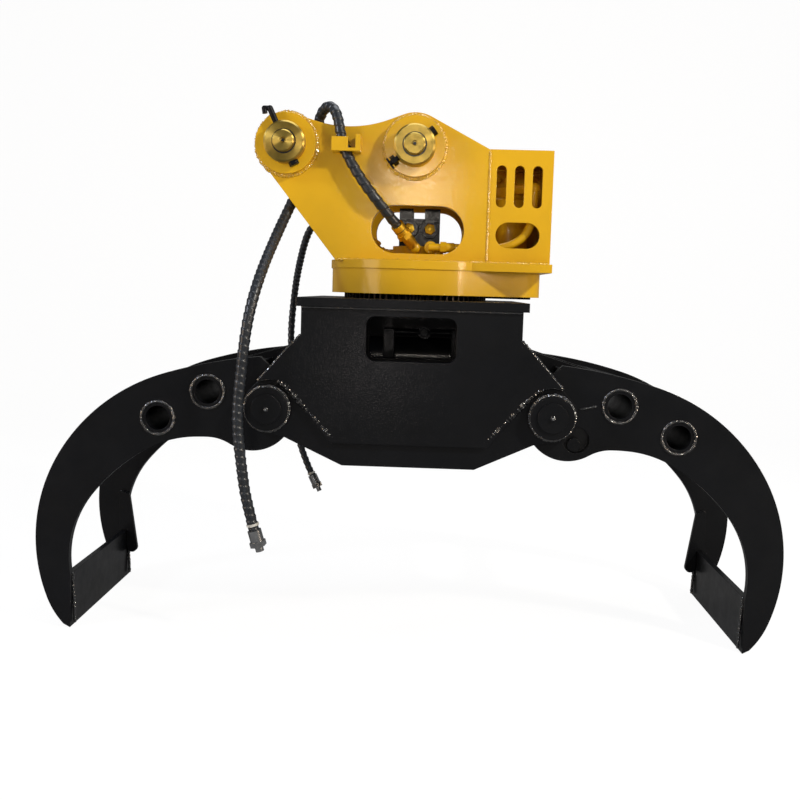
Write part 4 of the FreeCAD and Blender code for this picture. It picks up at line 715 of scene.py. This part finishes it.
class GRAPPLE_OT_stage(bpy.types.Operator):
    """Set the camera, the pale floor and backdrop, and the studio lights"""
    bl_idname = "grapple.stage"
    bl_label = "Camera and studio"

    def execute(self, context):
        scene = context.scene
        scene.view_settings.view_transform = "Standard"
        data = bpy.data.cameras.new("camera")
        data.lens = 46.88
        data.sensor_width = 36
        camera = bpy.data.objects.new("camera", data)
        scene.collection.objects.link(camera)
        right = Vector((0.99897, 0.03505, 0.02883))
        up = Vector((-0.03237, 0.10478, 0.99397))
        back = right.cross(up)
        turn = Matrix((right, up, back)).transposed().to_4x4()
        camera.matrix_world = Matrix.Translation((0.0533, -2.5947, 0.8137)) @ turn
        scene.camera = camera

        bm = bmesh.new()
        rows = []
        profile = [(-8, 0), (3.2, 0)]
        for i in range(1, 13):
            a = math.pi / 2 * i / 12
            profile.append((3.2 + 1.6 * math.sin(a), 1.6 - 1.6 * math.cos(a)))
        profile.append((4.8, 7))
        for y, z in profile:
            rows.append([bm.verts.new((x, y, z)) for x in (-9, 9)])
        for low, high in zip(rows, rows[1:]):
            bm.faces.new((low[0], low[1], high[1], high[0]))
        mesh = bpy.data.meshes.new("studio_sheet")
        bm.to_mesh(mesh)
        bm.free()
        mesh.shade_smooth()
        sheet = bpy.data.objects.new("studio_sheet", mesh)
        scene.collection.objects.link(sheet)

        # painted studio sweep: matt and pale, seen as white with the object's soft shadow kept
        material, tree, shader, _ = new_material("matt_studio_paint")
        tone = tuple(scene.grapple_colours.floor)
        shader.inputs["Base Color"].default_value = tone
        shader.inputs["Roughness"].default_value = 0.9
        rays = add(tree, "ShaderNodeLightPath")
        level = add(tree, "ShaderNodeMapRange", {"Value": rays.outputs["Is Camera Ray"],
                                                 "To Min": 0.14, "To Max": 1.06})
        glow = add(tree, "ShaderNodeEmission", {"Color": (1, 1, 1, 1), "Strength": level.outputs["Result"]})
        seen = add(tree, "ShaderNodeMath", {0: rays.outputs["Is Camera Ray"],
                                            1: rays.outputs["Is Glossy Ray"]}, operation="MAXIMUM")
        share = add(tree, "ShaderNodeMath", {0: seen.outputs[0], 1: 0.88}, operation="MULTIPLY")
        mix = add(tree, "ShaderNodeMixShader", {0: share.outputs[0], 1: shader.outputs["BSDF"],
                                                2: glow.outputs["Emission"]})
        output = next(n for n in tree.nodes if n.bl_idname == "ShaderNodeOutputMaterial")
        tree.links.new(mix.outputs["Shader"], output.inputs["Surface"])
        mesh.materials.append(material)

        world = bpy.data.worlds.new("studio_world")
        scene.world = world
        world.use_nodes = True
        tree = world.node_tree
        tree.nodes.clear()
        rays = add(tree, "ShaderNodeLightPath")
        seen = add(tree, "ShaderNodeMath", {0: rays.outputs["Is Camera Ray"],
                                            1: rays.outputs["Is Transmission Ray"]}, operation="MAXIMUM")
        level = add(tree, "ShaderNodeMapRange", {"Value": seen.outputs[0], "To Min": 0.16, "To Max": 1.0})
        glow = add(tree, "ShaderNodeBackground", {"Color": (1, 1, 1, 1), "Strength": level.outputs["Result"]})
        add(tree, "ShaderNodeOutputWorld", {"Surface": glow.outputs["Background"]})

        for name, where, aim, size, power, tint in (
                ("key_light", (2.6, -2.3, 2.9), (0, 0, 0.9), 0.3, 92, "#FFF8EA"),
                ("fill_light", (-3.8, -2.2, 0.9), (0, 0, 0.7), 1.8, 40, "#FFE2C0"),
                ("left_panel", (-3.0, -1.7, 2.3), (0, 0, 0.7), 0.7, 36, "#E4ECFF"),
                ("right_panel", (3.1, -1.6, 1.2), (0, 0, 0.8), 0.6, 30, "#FFE6CC"),
                ("lamp_by_camera", (-0.06, -2.75, 1.29), (0, 0, 0.95), 0.16, 4.5, "#FFF4E6"),
                ("low_lamp", (-0.24, -2.75, 0.48), (0, 0, 0.65), 0.16, 0.5, "#FFF4F0"),
                ("top_light", (0.2, 0.6, 3.8), (0, 0, 0.6), 2.6, 50, "#F2F6FF")):
            lamp = bpy.data.lights.new(name, "AREA")
            lamp.shape = "DISK"
            lamp.size = size
            lamp.energy = power
            lamp.color = linear(tint)[:3]
            holder = bpy.data.objects.new(name, lamp)
            scene.collection.objects.link(holder)
            way = Vector(aim) - Vector(where)
            turn = way.to_track_quat("-Z", "Y").to_matrix().to_4x4()
            holder.matrix_world = Matrix.Translation(where) @ turn
        return {"FINISHED"}


OPERATORS = (GRAPPLE_OT_stage, GRAPPLE_OT_hoses, GRAPPLE_OT_head, GRAPPLE_OT_head_welds, GRAPPLE_OT_frame,
             GRAPPLE_OT_claws)


class GRAPPLE_PT_panel(bpy.types.Panel):
    """Lists the steps that dress the grapple"""
    bl_idname = "GRAPPLE_PT_panel"
    bl_label = "Sorting grapple"
    bl_space_type = "VIEW_3D"
    bl_region_type = "UI"
    bl_category = "Grapple"

    def draw(self, context):
        for step in OPERATORS:
            self.layout.operator(step.bl_idname)
        for group in (context.scene.grapple_sizes, context.scene.grapple_colours):
            for name in group.__annotations__:
                self.layout.prop(group, name)


CLASSES = (GrappleSizes, GrappleColours, *OPERATORS, GRAPPLE_PT_panel)


def register():
    for cls in CLASSES:
        bpy.utils.register_class(cls)
    bpy.types.Scene.grapple_sizes = bpy.props.PointerProperty(type=GrappleSizes)
    bpy.types.Scene.grapple_colours = bpy.props.PointerProperty(type=GrappleColours)


def unregister():
    del bpy.types.Scene.grapple_colours
    del bpy.types.Scene.grapple_sizes
    for cls in reversed(CLASSES):
        bpy.utils.unregister_class(cls)


def main():
    register()
    for step in OPERATORS:
        group, name = step.bl_idname.split(".")
        getattr(getattr(bpy.ops, group), name)()


if __name__ == "__main__":
    main()
